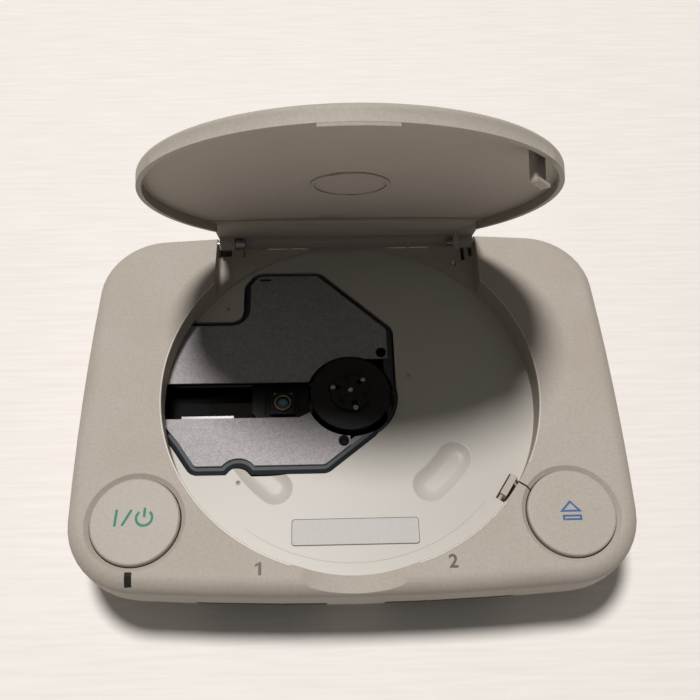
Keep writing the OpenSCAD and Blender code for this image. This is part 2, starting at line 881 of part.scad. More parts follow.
// Torsion spring on the left pin, with a leg down to the shelf
module hinge_spring() {
    coil_left = -tongue_half + 0.4 + knuckle_l + play;
    coil_right = -notch_half - pin_seat + pin_l - 0.2;
    leg_r = 0.4;
    color(steel_colour) translate([0, hinge_y, hinge_z]) {
        difference() {
            bar_x(pin_r + spring_t, coil_left, coil_right);
            bar_x(pin_r + run, coil_left - past, coil_right + past);
        }
        translate([coil_right - 0.6, -pin_r - root, 0]) rod(leg_r, shelf_z - hinge_z, -root);
    }
}

// Buttons

module button_cap() {
    edge = 0.8;
    rod(button_r - edge, flange_top, button_top);
    rod(button_r, flange_top, button_top - edge);
    translate([0, 0, button_top - edge]) rotate_extrude() translate([button_r - edge, 0])
        intersection() {
            circle(r = edge, $fn = 32);
            square(edge);
        }
    rod(bore_r + 0.8, flange_top - flange_t, flange_top);
}

module power_button() {
    stem_low = switch_z + switch_board_t + tact_h + power_in + play;
    stem_r = 3;
    color(case_colour) at_button(-1) {
        button_cap();
        rod(stem_r, stem_low, flange_top);
    }
}

// The stem's slanted face drives the latch slider outwards as the button goes down
module open_button() {
    stem_low = seam_z - 3.4;
    stem_high = flange_top - flange_t;
    face_low = wedge_slope * (stem_low - slider_top);
    face_high = wedge_slope * (stem_high - slider_top);
    color(case_colour) at_button(1) {
        button_cap();
        rotate([0, 0, latch_a]) rotate([90, 0, 0]) translate([0, 0, -stem_w / 2]) linear_extrude(stem_w)
            polygon([[-stem_back, stem_low], [face_low, stem_low], [face_high, stem_high],
                [face_high, flange_top], [-stem_back, flange_top]]);
    }
}

module button_spring(side) {
    spring_post_place(side) tube(spring_r, spring_r - spring_t, spring_post_z, flange_top - flange_t);
}

module power_spring() {
    color(steel_colour) button_spring(-1);
}

module open_spring() {
    color(steel_colour) button_spring(1);
}

module latch_slider() {
    tail = button_reach + 4;
    slot_in = button_reach - stem_back - 2.4;
    slot_half = stem_w / 2 + play;
    slider_low = slider_top - slider_t;
    color(case_colour) on_latch_line() {
        difference() {
            span([hook_out - spring_in, -slider_w / 2, slider_low], [tail, slider_w / 2, slider_top]);
            span([slot_in, -slot_half, slider_low - past],
                [button_reach + play, slot_half, slider_top + past]);
        }
        span([hook_out - hook_t, -hook_w / 2, slider_top - 0.5], [hook_out, hook_w / 2, hook_z + hook_h]);
        span([hook_out - hook_t - hook_len, -hook_w / 2, hook_z], [hook_out, hook_w / 2, hook_z + hook_h]);
    }
}

module latch_spring() {
    color(steel_colour) on_latch_line() translate([0, 0, slider_top - slider_t / 2])
        bar_x(latch_spring_r, hook_out - lug_in + 0.9, hook_out - spring_in);
}

// Disc drive

module rail_support(x0, x1) {
    block_half = 2.6;
    block_top = rail_z + 2.2;
    for (s = [-1, 1]) translate([0, pickup_y + s * rail_off, 0])
        span([x0, -block_half, tray_z - root], [x1, block_half, block_top]);
}

module drive_ears() {
    bar_w = 6;
    for (i = [0:len(ear_at) - 1]) {
        way = ear_at[i] - ear_root[i];
        translate(concat(ear_at[i], [ear_top - ear_t])) cylinder(r = ear_r, h = ear_t);
        translate(concat(ear_root[i], [ear_top - ear_t])) rotate([0, 0, atan2(way[1], way[0])])
            translate([0, -bar_w / 2, 0]) cube([norm(way), bar_w, ear_t]);
    }
}

module drive_tray() {
    difference() {
        union() {
            rings([for (q = [[drive_z, rim_w], [deck_z, rim_w], [chassis_top + rim_h / 2, -rim_w / 2]])
                [for (p = grown(cover_outline, q[1])) [p[0], p[1], q[0]]]]);
            at_well() rod(collar_r, drive_z, deck_z);
            drive_ears();
        }
        span([cover_left - rim_w - past, cover_front - rim_w - past, chassis_top],
            [cover_right + rim_w + past, cover_rear + rim_w + past, chassis_top + rim_h]);
        translate([0, 0, tray_z]) linear_extrude(drive_h) polygon(grown(cover_outline, -tray_wall));
        at_well() rod(spindle_hole_r, tray_z, cover_top);
    }
}

module drive_chassis() {
    cover_post_r = 2.2;
    color(black_colour) difference() {
        union() {
            drive_tray();
            rail_support(rail_left - root, rail_left + rail_block);
            rail_support(rail_right - rail_block, rail_right);
            translate([gear_x, gear_y, 0]) rod(post_r, tray_z - root, wheel_z + wheel_h + 0.4);
            for (p = cover_screw_at) translate(p) rod(cover_post_r, tray_z - root, chassis_top);
        }
        for (s = [-1, 1]) translate([0, pickup_y + s * rail_off, rail_z])
            bar_x(rail_r, rail_left, rail_right + past);
        for (p = cover_screw_at) translate(p) rod(cover_screw_r, tray_z, chassis_top + past);
        for (p = ear_at) translate(p) rod(neck_r, ear_top - ear_t - past, ear_top + past);
    }
}

module drive_cover() {
    chamfer = 3;
    chamfer_x = 5.6;
    front = pickup_y - slot_w / 2;
    rear = pickup_y + slot_w / 2;
    vent = [4.4, 1.1];
    vent_at = [-34.6, cover_rear - 2 * vent[1]];
    // Right of the hole only a tab round each screw is left
    tab = 2.4;
    tab_x = cover_screw_at[0][0] + tab;
    tab_y = cover_screw_at[1][1] - tab;
    color(cover_colour) translate([0, 0, chassis_top]) linear_extrude(cover_t) difference() {
        polygon(cover_outline);
        translate([0, well_y]) circle(r = spindle_hole_r);
        polygon([[slot_left, front], [slot_right - chamfer_x, front], [slot_right, front + chamfer],
            [slot_right, rear], [slot_left, rear]]);
        for (p = cover_screw_at) translate(p) circle(r = cover_screw_r + 0.1);
        translate(vent_at) square(vent);
        translate([tab_x, cover_front]) square([cover_right - tab_x + past, tab_y - cover_front]);
    }
}

module cover_screws() {
    head_r = 1.9;
    head_h = 0.7;
    screw_l = 3.4;
    cross_l = 2.2;
    cross_w = 0.5;
    cross_z = cover_top + 0.3;
    color(black_colour) for (p = cover_screw_at) translate(p) {
        difference() {
            rod(head_r, cover_top, cover_top + head_h);
            for (a = [0, 90]) rotate([0, 0, a])
                translate([-cross_l / 2, -cross_w / 2, cross_z]) cube([cross_l, cross_w, head_h]);
        }
        rod(cover_screw_r, cover_top - screw_l, cover_top);
    }
}

module spindle_motor() {
    collar = 3.4;
    color(steel_colour) at_well() difference() {
        union() {
            rod(motor_r, tray_z, motor_top - motor_base);
            rod(collar, tray_z, motor_top);
        }
        rod(shaft_r + run, tray_z + motor_base, motor_top + past);
    }
}

module spindle_shaft() {
    color(steel_colour) at_well() rod(shaft_r, tray_z + motor_base + run, hub_z - shaft_in);
}

module turntable() {
    seat_t = 1.4;
    bevel = 0.5;
    neck = 3;
    tip_r = 1.1;
    tip_h = 0.6;
    dent_r = 0.9;
    dent_in = 2.2;
    color(black_colour) at_well() difference() {
        union() {
            rod(turntable_r, seat_z - seat_t, seat_z);
            rod(hub_r, seat_z - root, hub_z - bevel);
            translate([0, 0, hub_z - bevel]) cylinder(r1 = hub_r, r2 = hub_r - 0.7, h = bevel);
            rod(neck, motor_top + 0.4, seat_z);
            rod(tip_r, hub_z - root, hub_z + tip_h);
        }
        rod(shaft_r, motor_top, hub_z - shaft_in);
        for (a = [45, 165, 285]) rotate([0, 0, a]) translate([0, 0, ball_z])
            bar_x(ball_r + run, ball_reach - 2 * ball_r - 0.1, hub_r + past);
        for (a = [105, 225, 345]) rotate([0, 0, a]) translate([hub_r - dent_in, 0, 0])
            rod(dent_r, hub_z - tip_h, hub_z + past);
    }
}

module clamp_ball(a) {
    color(steel_colour) at_well() rotate([0, 0, a])
        translate([ball_reach, 0, ball_z]) sphere(r = ball_r);
}

module clamp_ball_1() {
    clamp_ball(45);
}

module clamp_ball_2() {
    clamp_ball(165);
}

module clamp_ball_3() {
    clamp_ball(285);
}

// Sled on its two rails; one corner is cut off to pass the frame's slanted wall at the end of its travel
module pickup_sled() {
    dip_half = 6.5;
    nose = [7.8, 9.4];
    front = pickup_y - sled_side;
    rear = pickup_y + sled_side;
    color(dark_colour) difference() {
        translate([0, 0, sled_z]) linear_extrude(sled_top - sled_z)
            polygon([[sled_left, front + nose[1]], [sled_left + nose[0], front], [sled_right, front],
                [sled_right, rear], [sled_left, rear]]);
        for (s = [-1, 1]) translate([0, pickup_y + s * rail_off, rail_z])
            bar_x(rail_r + run, sled_left - past, sled_right + past);
        translate([-lens_reach, pickup_y, 0])
            span([-dip_half, -dip_half, sled_top - sled_dip], [dip_half, dip_half, sled_top + past]);
    }
}

// Toothed bar on the sled's rear side; a gap faces the gear at rest
module sled_rack() {
    pitch = PI * rack_module;
    root_y = rack_line - 1.2 * rack_module;
    tip_y = rack_line + 0.9 * rack_module;
    foot = 0.8 * rack_module;
    tip = 0.36 * rack_module;
    rack_start = gear_x - 3;
    count = 23;
    rack_end = gear_x + pitch * (count - 1);
    color(dark_colour) translate([0, 0, rack_z]) {
        span([rack_start, pickup_y + sled_side, 0], [rack_end, root_y, rack_h]);
        linear_extrude(rack_h) for (i = [-1:count - 2]) translate([gear_x + pitch * (i + 0.5), 0])
            polygon([[-foot, root_y - 0.1], [foot, root_y - 0.1], [tip, tip_y], [-tip, tip_y]]);
    }
}

module lens_holder() {
    half = holder_w / 2;
    high = holder_low + holder_h;
    collar_t = 0.9;
    collar_h = 0.4;
    color(black_colour) translate([-lens_reach, pickup_y, 0]) difference() {
        union() {
            span([-half, -half, holder_low], [half, half, high]);
            rod(lens_r + collar_t, holder_low, high + collar_h);
        }
        rod(lens_r, lens_low, high + past);
    }
}

module objective_lens() {
    ball = 3.6;
    edge_h = 0.7;
    cap = ball - sqrt(ball * ball - lens_r * lens_r);
    color("lightblue") translate([-lens_reach, pickup_y, lens_low]) intersection() {
        rod(lens_r, 0, edge_h + cap);
        translate([0, 0, edge_h + cap - ball]) sphere(r = ball);
    }
}

module guide_rails() {
    color(steel_colour) for (s = [-1, 1]) translate([0, pickup_y + s * rail_off, rail_z])
        bar_x(rail_r, rail_left, rail_right);
}

// Outline of a gear with plain straight-sided teeth, thin enough to leave play
function gear_outline(teeth, size) =
    let (pitch_r = teeth * size / 2, half_t = 0.55 * size * 180 / PI / pitch_r)
    [for (i = [0:teeth - 1]) for (q = [[-1.2, -1.45], [0.9, -0.6], [0.9, 0.6], [-1.2, 1.45]])
        let (a = 360 * i / teeth + q[1] * half_t) (pitch_r + q[0] * size) * [cos(a), sin(a)]];

module rack_gear() {
    boss = 2;
    color(white_colour) translate([gear_x, gear_y, 0]) difference() {
        union() {
            translate([0, 0, rack_z]) linear_extrude(wheel_z - rack_z)
                polygon(gear_outline(rack_teeth, rack_module));
            translate([0, 0, wheel_z]) linear_extrude(wheel_h)
                polygon(gear_outline(wheel_teeth, wheel_module));
            rod(boss, tray_z + 0.2, rack_z + root);
        }
        rod(post_r + run, tray_z, wheel_z + wheel_h + past);
    }
}

module sled_motor() {
    sled_motor_r = 5;
    color(steel_colour) translate([pinion_x, pinion_y, 0]) difference() {
        rod(sled_motor_r, tray_z, wheel_z - root);
        rod(motor_shaft_r + run, tray_z + motor_base, wheel_z);
    }
}

module motor_pinion() {
    over = 0.1;
    color(white_colour) translate([pinion_x, pinion_y, 0]) {
        translate([0, 0, wheel_z - over]) rotate([0, 0, 180 / pinion_teeth])
            linear_extrude(wheel_h + 4 * over) polygon(gear_outline(pinion_teeth, wheel_module));
        rod(motor_shaft_r, tray_z + motor_base + run, wheel_z + root);
    }
}

module drive_grommets() {
    color(dark_colour) for (p = ear_at) translate(p) difference() {
        union() {
            rod(grommet_r, ear_top, grommet_top);
            rod(neck_r, grommet_low, grommet_top);
            rod(grommet_r, grommet_low, ear_top - ear_t);
        }
        rod(bush_r, grommet_low - past, grommet_top + past);
    }
}

module drive_screws() {
    head_r = 3.2;
    color(steel_colour) for (p = ear_at) translate(p) {
        rod(head_r, grommet_low - screw_head, grommet_low);
        rod(bush_r - 0.1, grommet_low, floor_z - 1.2);
    }
}

module drive_flex() {
    color("#a86a2a") span([flex_x - flex_w / 2, flex_y, board_top + flex_up],
        [flex_x + flex_w / 2, flex_y + flex_t, drive_z]);
}

// Boards and shields

module main_board() {
    color(green_colour) difference() {
        span([-board_half, board_front, board_z], [board_half, board_rear, board_top]);
        for (p = board_screw_at) translate(p) rod(board_screw_r + 0.4, board_z - past, board_top + past);
    }
}

module board_chips() {
    // Places and sides of the chips as shares of the upper shield
    chips = [[-0.3, 0.26, 0.4], [0.05, 0.26, 0.34], [-0.3, -0.26, 0.28],
        [0.02, -0.26, 0.23], [0.28, 0, 0.26]];
    wide = 2 * shield_half;
    deep = shield_rear - shield_front;
    mid_y = (shield_rear + shield_front) / 2;
    color(black_colour) for (c = chips) translate([c[0] * wide, mid_y + c[1] * deep, board_top])
        translate([-c[2] * deep / 2, -c[2] * deep / 2, 0]) cube([c[2] * deep, c[2] * deep, chip_h]);
}

module capacitors() {
    can_r = 3.2;
    can_in = 14;
    can_pitch = 10;
    can_rear = 6;
    color(dark_colour) for (i = [0, 1])
        translate([-board_half + can_in + i * can_pitch, board_rear - can_rear, 0])
            rod(can_r, board_top, drive_z - 0.8);
}

// Socket of the drive's flat cable, and the plug strip to the ports' board
module board_connectors() {
    lip = 2;
    socket_top = board_top + 2.4;
    plug_half = 14;
    plug_on = 5;
    plug_h = 4;
    color(white_colour) {
        translate([flex_x, flex_y, 0]) difference() {
            span([-flex_w / 2 - lip, -lip, board_top], [flex_w / 2 + lip, flex_t + lip, socket_top]);
            span([-flex_w / 2, 0, board_top + flex_up], [flex_w / 2, flex_t, socket_top + past]);
        }
        span([-plug_half, port_back + port_board_t, board_top],
            [plug_half, board_front + plug_on, board_top + plug_h]);
    }
}

module upper_shield() {
    high = board_top + shield_h;
    inner_half = shield_half - shield_t;
    color(steel_colour) difference() {
        span([-shield_half, shield_front, board_top], [shield_half, shield_rear, high]);
        span([-inner_half, shield_front + shield_t, board_top - past],
            [inner_half, shield_rear - shield_t, high - shield_t]);
    }
}

module lower_shield() {
    plate_half = board_half - 3;
    plate_front = board_front + 5;
    plate_rear = board_rear - 9;
    color(steel_colour) difference() {
        span([-plate_half, plate_front, inner_z], [plate_half, plate_rear, inner_z + shield_t]);
        for (p = board_screw_at) translate(p) rod(board_post_r + 0.4, inner_z - past, inner_z + past);
    }
}

module board_screws() {
    head_r = 2.6;
    head_h = 1.6;
    screw_in = 3;
    color(steel_colour) for (p = board_screw_at) translate(p) {
        rod(head_r, board_top, board_top + head_h);
        rod(board_screw_r, board_z - screw_in, board_top);
    }
}

module switch_board() {
    color(green_colour)
        span([switch_left, switch_front, switch_z], [switch_right, switch_rear, switch_z + switch_board_t]);
}

module power_switch() {
    low = switch_z + switch_board_t;
    tip_r = 1.7;
    tip_h = 0.7;
    color(black_colour) at_button(-1) {
        translate([-tact_w / 2, -tact_w / 2, low]) cube([tact_w, tact_w, tact_h - tip_h]);
        rod(tip_r, low, low + tact_h);
    }
}

module power_led() {
    lamp_y = switch_front + 0.2;
    color("#7fd08a") span([led_x - lamp_w / 2, lamp_y, switch_z + switch_board_t],
        [led_x + lamp_w / 2, lamp_y + lamp_t, seam_z - play]);
}

module lid_switch() {
    half = lid_switch_w / 2;
    low = under_z - lid_switch_h;
    color(black_colour) translate([peg_x, peg_y, 0]) difference() {
        span([-half, -half, low], [half, half, under_z]);
        rod(plunger_r + run, low + 0.3, under_z + past);
    }
}

module switch_plunger() {
    color(white_colour) translate([peg_x, peg_y, 0]) rod(plunger_r, under_z - 0.6, plunger_top);
}

// Front ports

module port_block(side) {
    half = port_w / 2;
    color(dark_colour) difference() {
        intersection() {
            translate([side * port_x, 0, 0]) span([-half, -half_d, inner_z], [half, port_back, port_top]);
            loft(lower_levels(wall + 0.1));
        }
        translate([side * port_x, 0, 0]) {
            span([-card_w / 2, -half_d - past, card_z], [card_w / 2, port_floor_back, card_top]);
            span([-socket_w / 2, -half_d - past, socket_z],
                [socket_w / 2, port_floor_back, socket_z + socket_h]);
            translate([0, door_y, door_axis_z]) bar_x(door_pin_r + run, -half - past, half + past);
        }
    }
}

module port_block_1() {
    port_block(-1);
}

module port_block_2() {
    port_block(1);
}

module port_contacts() {
    blade = [0.9, 9, 0.5];
    blade_pitch = 4.2;
    prong_r = 0.6;
    prong_l = 8;
    prong_pitch = 3.8;
    color(gold_colour) for (s = [-1, 1]) translate([s * port_x, port_floor_back, 0]) {
        for (i = [-4:4]) translate([i * prong_pitch, 0, socket_z + socket_h / 2])
            bar_y(prong_r, -prong_l, 0);
        for (i = [-4:3]) translate([(i + 0.5) * blade_pitch - blade[0] / 2, -blade[1], card_z])
            cube(blade);
    }
}

module port_board() {
    color(green_colour)
        span([-port_half, port_back, inner_z], [port_half, port_back + port_board_t, port_board_top]);
}

module card_door(side) {
    flap_w = card_w - 2 * play;
    flap_low = card_z + play;
    color(dark_colour) translate([side * port_x, door_y, 0]) {
        span([-flap_w / 2, -door_t / 2, flap_low], [flap_w / 2, door_t / 2, door_axis_z]);
        translate([0, 0, door_axis_z]) {
            bar_x(door_t / 2, -flap_w / 2, flap_w / 2);
            bar_x(door_pin_r, -port_w / 2 + 0.2, port_w / 2 - 0.2);
        }
    }
}

module card_door_1() {
    card_door(-1);
}

module card_door_2() {
    card_door(1);
}

// Rear sockets

module av_socket() {
    back = board_rear - 12;
    nose = half_d - 3.6;
    half = av_w / 2;
    mouth_half = half - av_mouth;
    blade_half = half - av_blade_in;
    color(black_colour) translate([av_x, 0, board_top]) difference() {
        span([-half, back, 0], [half, nose, av_h]);
        difference() {
            span([-mouth_half, nose - av_mouth_d, av_mouth], [mouth_half, nose + past, av_h - av_mouth]);
            span([-blade_half, nose - av_mouth_d - past, (av_h - av_blade_t) / 2],
                [blade_half, nose - 1.2, (av_h + av_blade_t) / 2]);
        }
    }
}

module dc_jack() {
    back = board_rear - 10;
    half = dc_body / 2;
    bore_end = dc_nose - dc_bore_d;
    color(black_colour) translate([dc_x, 0, 0]) {
        difference() {
            union() {
                span([-half, back, board_top], [half, dc_shoulder, board_top + dc_body]);
                translate([0, 0, dc_z]) bar_y(dc_nose_r, dc_shoulder - past, dc_nose);
            }
            translate([0, 0, dc_z]) bar_y(jack_r, bore_end, dc_nose + past);
        }
        translate([0, 0, dc_z]) bar_y(dc_pin_r, bore_end - root, dc_nose - 1.5);
    }
}

upper_case();
lower_case();
case_screws();
rubber_feet();
led_window();
label_plate();
lid();
hinge_pins();
hinge_spring();
power_button();
open_button();
power_spring();
open_spring();
latch_slider();
latch_spring();
drive_chassis();
drive_cover();
cover_screws();
spindle_motor();
spindle_shaft();
turntable();
clamp_ball_1();
clamp_ball_2();
clamp_ball_3();
pickup_sled();
sled_rack();
lens_holder();
objective_lens();
guide_rails();
sled_motor();
motor_pinion();
rack_gear();
drive_grommets();
drive_screws();
drive_flex();
main_board();
board_chips();
capacitors();
board_connectors();
upper_shield();
lower_shield();
board_screws();
switch_board();
power_switch();
power_led();
lid_switch();
switch_plunger();
port_block_1();
port_block_2();
port_contacts();
port_board();
card_door_1();
card_door_2();
av_socket();
dc_jack();
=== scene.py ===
"""Looks of a small home disc console with its round lid open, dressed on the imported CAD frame."""
import json
import logging
import math
from collections.abc import Callable, Iterable
from dataclasses import dataclass
from enum import Enum

import bmesh
import bpy
from mathutils import Matrix, Vector

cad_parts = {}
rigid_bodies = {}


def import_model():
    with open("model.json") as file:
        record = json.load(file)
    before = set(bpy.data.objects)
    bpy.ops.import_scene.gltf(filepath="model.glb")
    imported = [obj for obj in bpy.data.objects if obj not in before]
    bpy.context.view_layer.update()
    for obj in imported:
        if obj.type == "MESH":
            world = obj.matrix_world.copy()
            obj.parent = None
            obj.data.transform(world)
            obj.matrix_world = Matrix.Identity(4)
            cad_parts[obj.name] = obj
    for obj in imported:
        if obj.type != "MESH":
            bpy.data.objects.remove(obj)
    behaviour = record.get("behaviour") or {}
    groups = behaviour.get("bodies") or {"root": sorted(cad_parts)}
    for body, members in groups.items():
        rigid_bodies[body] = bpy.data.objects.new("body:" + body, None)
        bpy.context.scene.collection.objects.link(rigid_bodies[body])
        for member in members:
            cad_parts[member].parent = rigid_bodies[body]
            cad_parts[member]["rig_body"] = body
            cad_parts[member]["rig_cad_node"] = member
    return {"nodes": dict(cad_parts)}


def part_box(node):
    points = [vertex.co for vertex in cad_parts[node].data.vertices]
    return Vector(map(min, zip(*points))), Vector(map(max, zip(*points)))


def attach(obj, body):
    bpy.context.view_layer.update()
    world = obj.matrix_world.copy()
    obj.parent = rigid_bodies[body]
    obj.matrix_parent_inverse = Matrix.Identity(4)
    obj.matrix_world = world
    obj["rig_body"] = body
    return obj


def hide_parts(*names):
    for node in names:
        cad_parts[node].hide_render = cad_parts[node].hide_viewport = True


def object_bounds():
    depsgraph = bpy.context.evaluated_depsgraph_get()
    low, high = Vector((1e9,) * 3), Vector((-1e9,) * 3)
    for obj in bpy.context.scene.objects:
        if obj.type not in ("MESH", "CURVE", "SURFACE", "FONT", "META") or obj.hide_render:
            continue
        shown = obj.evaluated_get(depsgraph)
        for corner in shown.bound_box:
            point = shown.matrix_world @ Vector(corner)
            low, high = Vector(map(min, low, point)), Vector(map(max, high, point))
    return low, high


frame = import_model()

Point = tuple[float, float]
Triple = tuple[float, float, float]
Pair = tuple[Point, Point]
Tree = bpy.types.NodeTree
Socket = bpy.types.NodeSocket
Source = Socket | bpy.types.Node
Links = dict[str | int, Source]
Values = dict[str | int, object]
Piece = bpy.types.Object

LOG = logging.getLogger("console")
MM = 0.001
CAD_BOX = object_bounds()
# The disc's axis and the shell's top, in millimetres, as the part's source has them
AXIS_Y = 2.0
SHELL_TOP = 33.5
# Shares of a unit direction above which it counts as lying along an axis, and below which as across it
ALONG = 0.9
ACROSS = 0.1
# Rounding of a printed stroke's corners, as a share of its width
STROKE_ROUNDING = 0.45
# The stretch that holds most of a noise's values
NOISE_REACH = (0.3, 0.7)
# Sockets of a mix node by number: its share, two numbers and two colours
SHARE, NUMBER_A, NUMBER_B, COLOUR_A, COLOUR_B = 0, 2, 3, 6, 7


class Body(Enum):
    """Bodies of the frame that new pieces ride on."""

    CONSOLE = "console"
    LID = "lid"
    POWER_KEY = "power_key"
    OPEN_KEY = "open_key"
    LENS = "lens"
    DISC_HUB = "disc_hub"


class Pick(Enum):
    """What a selection in edit mode is made of."""

    VERTS = "VERT"
    EDGES = "EDGE"
    FACES = "FACE"


class Weighing(Enum):
    """How faces share in a vertex's normal: large ones more, or each by its corner on a round skin."""

    AREA = "FACE_AREA"
    ANGLE = "CORNER_ANGLE"


class Streak(Enum):
    """How fine lines run in a surface, as stretches of the pattern along X, Y and Z."""

    ALONG_X = (0.05, 1.0, 1.0)
    NONE = (1.0, 1.0, 1.0)


def linear(colour: str) -> tuple[float, ...]:
    """Turns an sRGB hex colour into linear light.

    Args:
        colour: Text such as "#b8afa4".

    Returns:
        Red, green, blue and an alpha of 1.
    """
    parts = [int(colour[i : i + 2], 16) / 255 for i in (1, 3, 5)]
    return tuple(c / 12.92 if c <= 0.04045 else ((c + 0.055) / 1.055) ** 2.4 for c in parts) + (1.0,)


def add_node(
    tree: Tree, kind: str, links: Links | None = None, values: Values | None = None, **settings: object
) -> bpy.types.Node:
    """Adds one shader node with its settings and links.

    Args:
        tree: The node tree.
        kind: The node's type without its ShaderNode prefix.
        links: Sources by the input that they feed; a node stands for its output in use.
        values: Constants by input.
        **settings: Properties of the node.

    Returns:
        The new node.
    """
    made = tree.nodes.new("ShaderNode" + kind)
    for key, setting in settings.items():
        setattr(made, key, setting)
    for key, value in (values or {}).items():
        made.inputs[key].default_value = value
    for key, source in (links or {}).items():
        output = source if isinstance(source, Socket) else next(o for o in source.outputs if o.enabled)
        tree.links.new(output, made.inputs[key])
    return made


def pattern_scale(size_mm: float) -> float:
    """Returns the texture scale that gives features of a size in millimetres."""
    return 1 / (size_mm * MM)


def noise(size_mm: float, detail: float) -> Values:
    """Returns the constants of a noise with features of a size in millimetres."""
    return {"Scale": pattern_scale(size_mm), "Detail": detail}


def span(start: float, full: float, most: float = 1.0, least: float = 0.0) -> Values:
    """Returns the constants that turn a number between start and full into one between least and most."""
    return {"From Min": start, "From Max": full, "To Min": least, "To Max": most}


def tones(first: str, second: str) -> Values:
    """Returns two hex colours as the constants of a mix."""
    return {COLOUR_A: linear(first), COLOUR_B: linear(second)}


@dataclass(frozen=True)
class Finish:
    """A surface: what it is made of and how it was made."""

    name: str
    colour: str
    roughness: float
    metallic: float = 0.0
    specular: float = 0.5

    def constants(self) -> Values:
        """Returns what is the same all over, for the surface shader's own sockets."""
        gloss = {"Specular IOR Level": self.specular, "Roughness": self.roughness}
        return {"Base Color": linear(self.colour), "Metallic": self.metallic} | gloss

    def pattern(self, tree: Tree, place: Socket) -> Links:
        """Adds what varies over the surface.

        Args:
            tree: The material's node tree.
            place: Object coordinates.

        Returns:
            Sources by the input of the surface shader that they feed.
        """
        raise NotImplementedError

    def material(self) -> bpy.types.Material:
        """Returns the material of this finish, made on first use."""
        made = bpy.data.materials.get(self.name)
        if made is not None:
            return made
        made = bpy.data.materials.new(self.name)
        made.use_nodes = True
        tree = made.node_tree
        tree.nodes.clear()
        place = add_node(tree, "TexCoord").outputs["Object"]
        shader = add_node(tree, "BsdfPrincipled", self.pattern(tree, place), self.constants())
        add_node(tree, "OutputMaterial", {"Surface": shader})
        return made


@dataclass(frozen=True)
class MouldedPlastic(Finish):
    """Injection-moulded plastic: an eroded mould leaves a fine even grain, and handling soft patches."""

    aged: str = "#b3a99c"
    grain_mm: float = 0.9
    grain_depth_mm: float = 0.012
    grain_pale: float = 1.05
    grain_dark: float = 0.94
    patch_mm: float = 26.0
    patch_span: Triple = (0.38, 0.66, 0.8)
    gloss_swing: float = 0.02
    edge_mm: float = 0.25

    def pattern(self, tree: Tree, place: Socket) -> Links:
        """Adds aged patches, grain and rounded edges; see Finish.pattern."""
        patch = add_node(tree, "TexNoise", {"Vector": place}, noise(self.patch_mm, 4.0))
        grain = add_node(tree, "TexNoise", {"Vector": place}, noise(self.grain_mm, 2.0))
        share = add_node(tree, "MapRange", {"Value": patch}, span(*self.patch_span))
        tone = add_node(tree, "Mix", {SHARE: share}, tones(self.colour, self.aged), data_type="RGBA")
        speckle = span(*NOISE_REACH, self.grain_pale, self.grain_dark)
        dots = add_node(tree, "MapRange", {"Value": grain}, speckle)
        base = add_node(tree, "VectorMath", {0: tone, 1: dots}, operation="MULTIPLY")
        worn = span(*NOISE_REACH, self.roughness - self.gloss_swing, self.roughness + self.gloss_swing)
        gloss = add_node(tree, "MapRange", {"Value": patch}, worn)
        edge = add_node(tree, "Bevel", values={"Radius": self.edge_mm * MM}, samples=4)
        depth = {"Strength": 0.6, "Distance": self.grain_depth_mm * MM}
        relief = add_node(tree, "Bump", {"Height": grain, "Normal": edge}, depth)
        return self.blend(tree, place, base, gloss) | {"Normal": relief}

    def blend(self, tree: Tree, place: Socket, base: Source, gloss: Source) -> Links:
        """Settles colour and roughness, here the same everywhere.

        Args:
            tree: The material's node tree.
            place: Object coordinates.
            base: The plastic's colour.
            gloss: Its roughness.

        Returns:
            Sources by the input of the surface shader that they feed.
        """
        return {"Base Color": base, "Roughness": gloss}


@dataclass(frozen=True)
class WellPlastic(MouldedPlastic):
    """The shell's plastic, polished on the floor of the disc well, where a paler tone is painted on as
    sheen.
    """

    floor_painted_sheen_colour: str = "#bdb9b1"
    floor_roughness: float = 0.4
    floor_top_mm: float = 24.2
    well_r_mm: float = 67.5

    def blend(self, tree: Tree, place: Socket, base: Source, gloss: Source) -> Links:
        """Mixes the polished floor and its painted sheen in where the surface lies inside the well; see
        MouldedPlastic.blend.
        """
        flat = {"Location": (0, -AXIS_Y * MM, 0), "Scale": (1, 1, 0)}
        from_axis = add_node(tree, "Mapping", {"Vector": place}, flat)
        reach = add_node(tree, "VectorMath", {0: from_axis}, operation="LENGTH")
        height = add_node(tree, "SeparateXYZ", {"Vector": place}).outputs["Z"]
        inside = add_node(tree, "Math", {0: reach}, {1: self.well_r_mm * MM}, operation="LESS_THAN")
        low = add_node(tree, "Math", {0: height}, {1: self.floor_top_mm * MM}, operation="LESS_THAN")
        floor = add_node(tree, "Math", {0: inside, 1: low}, operation="MULTIPLY")
        # Painted sheen: the floor's paler tone stands in for light; its lower roughness is the real polish.
        pale = {COLOUR_B: linear(self.floor_painted_sheen_colour)}
        tone = add_node(tree, "Mix", {SHARE: floor, COLOUR_A: base}, pale, data_type="RGBA")
        smooth = add_node(tree, "Mix", {SHARE: floor, NUMBER_A: gloss}, {NUMBER_B: self.floor_roughness})
        return {"Base Color": tone, "Roughness": smooth}


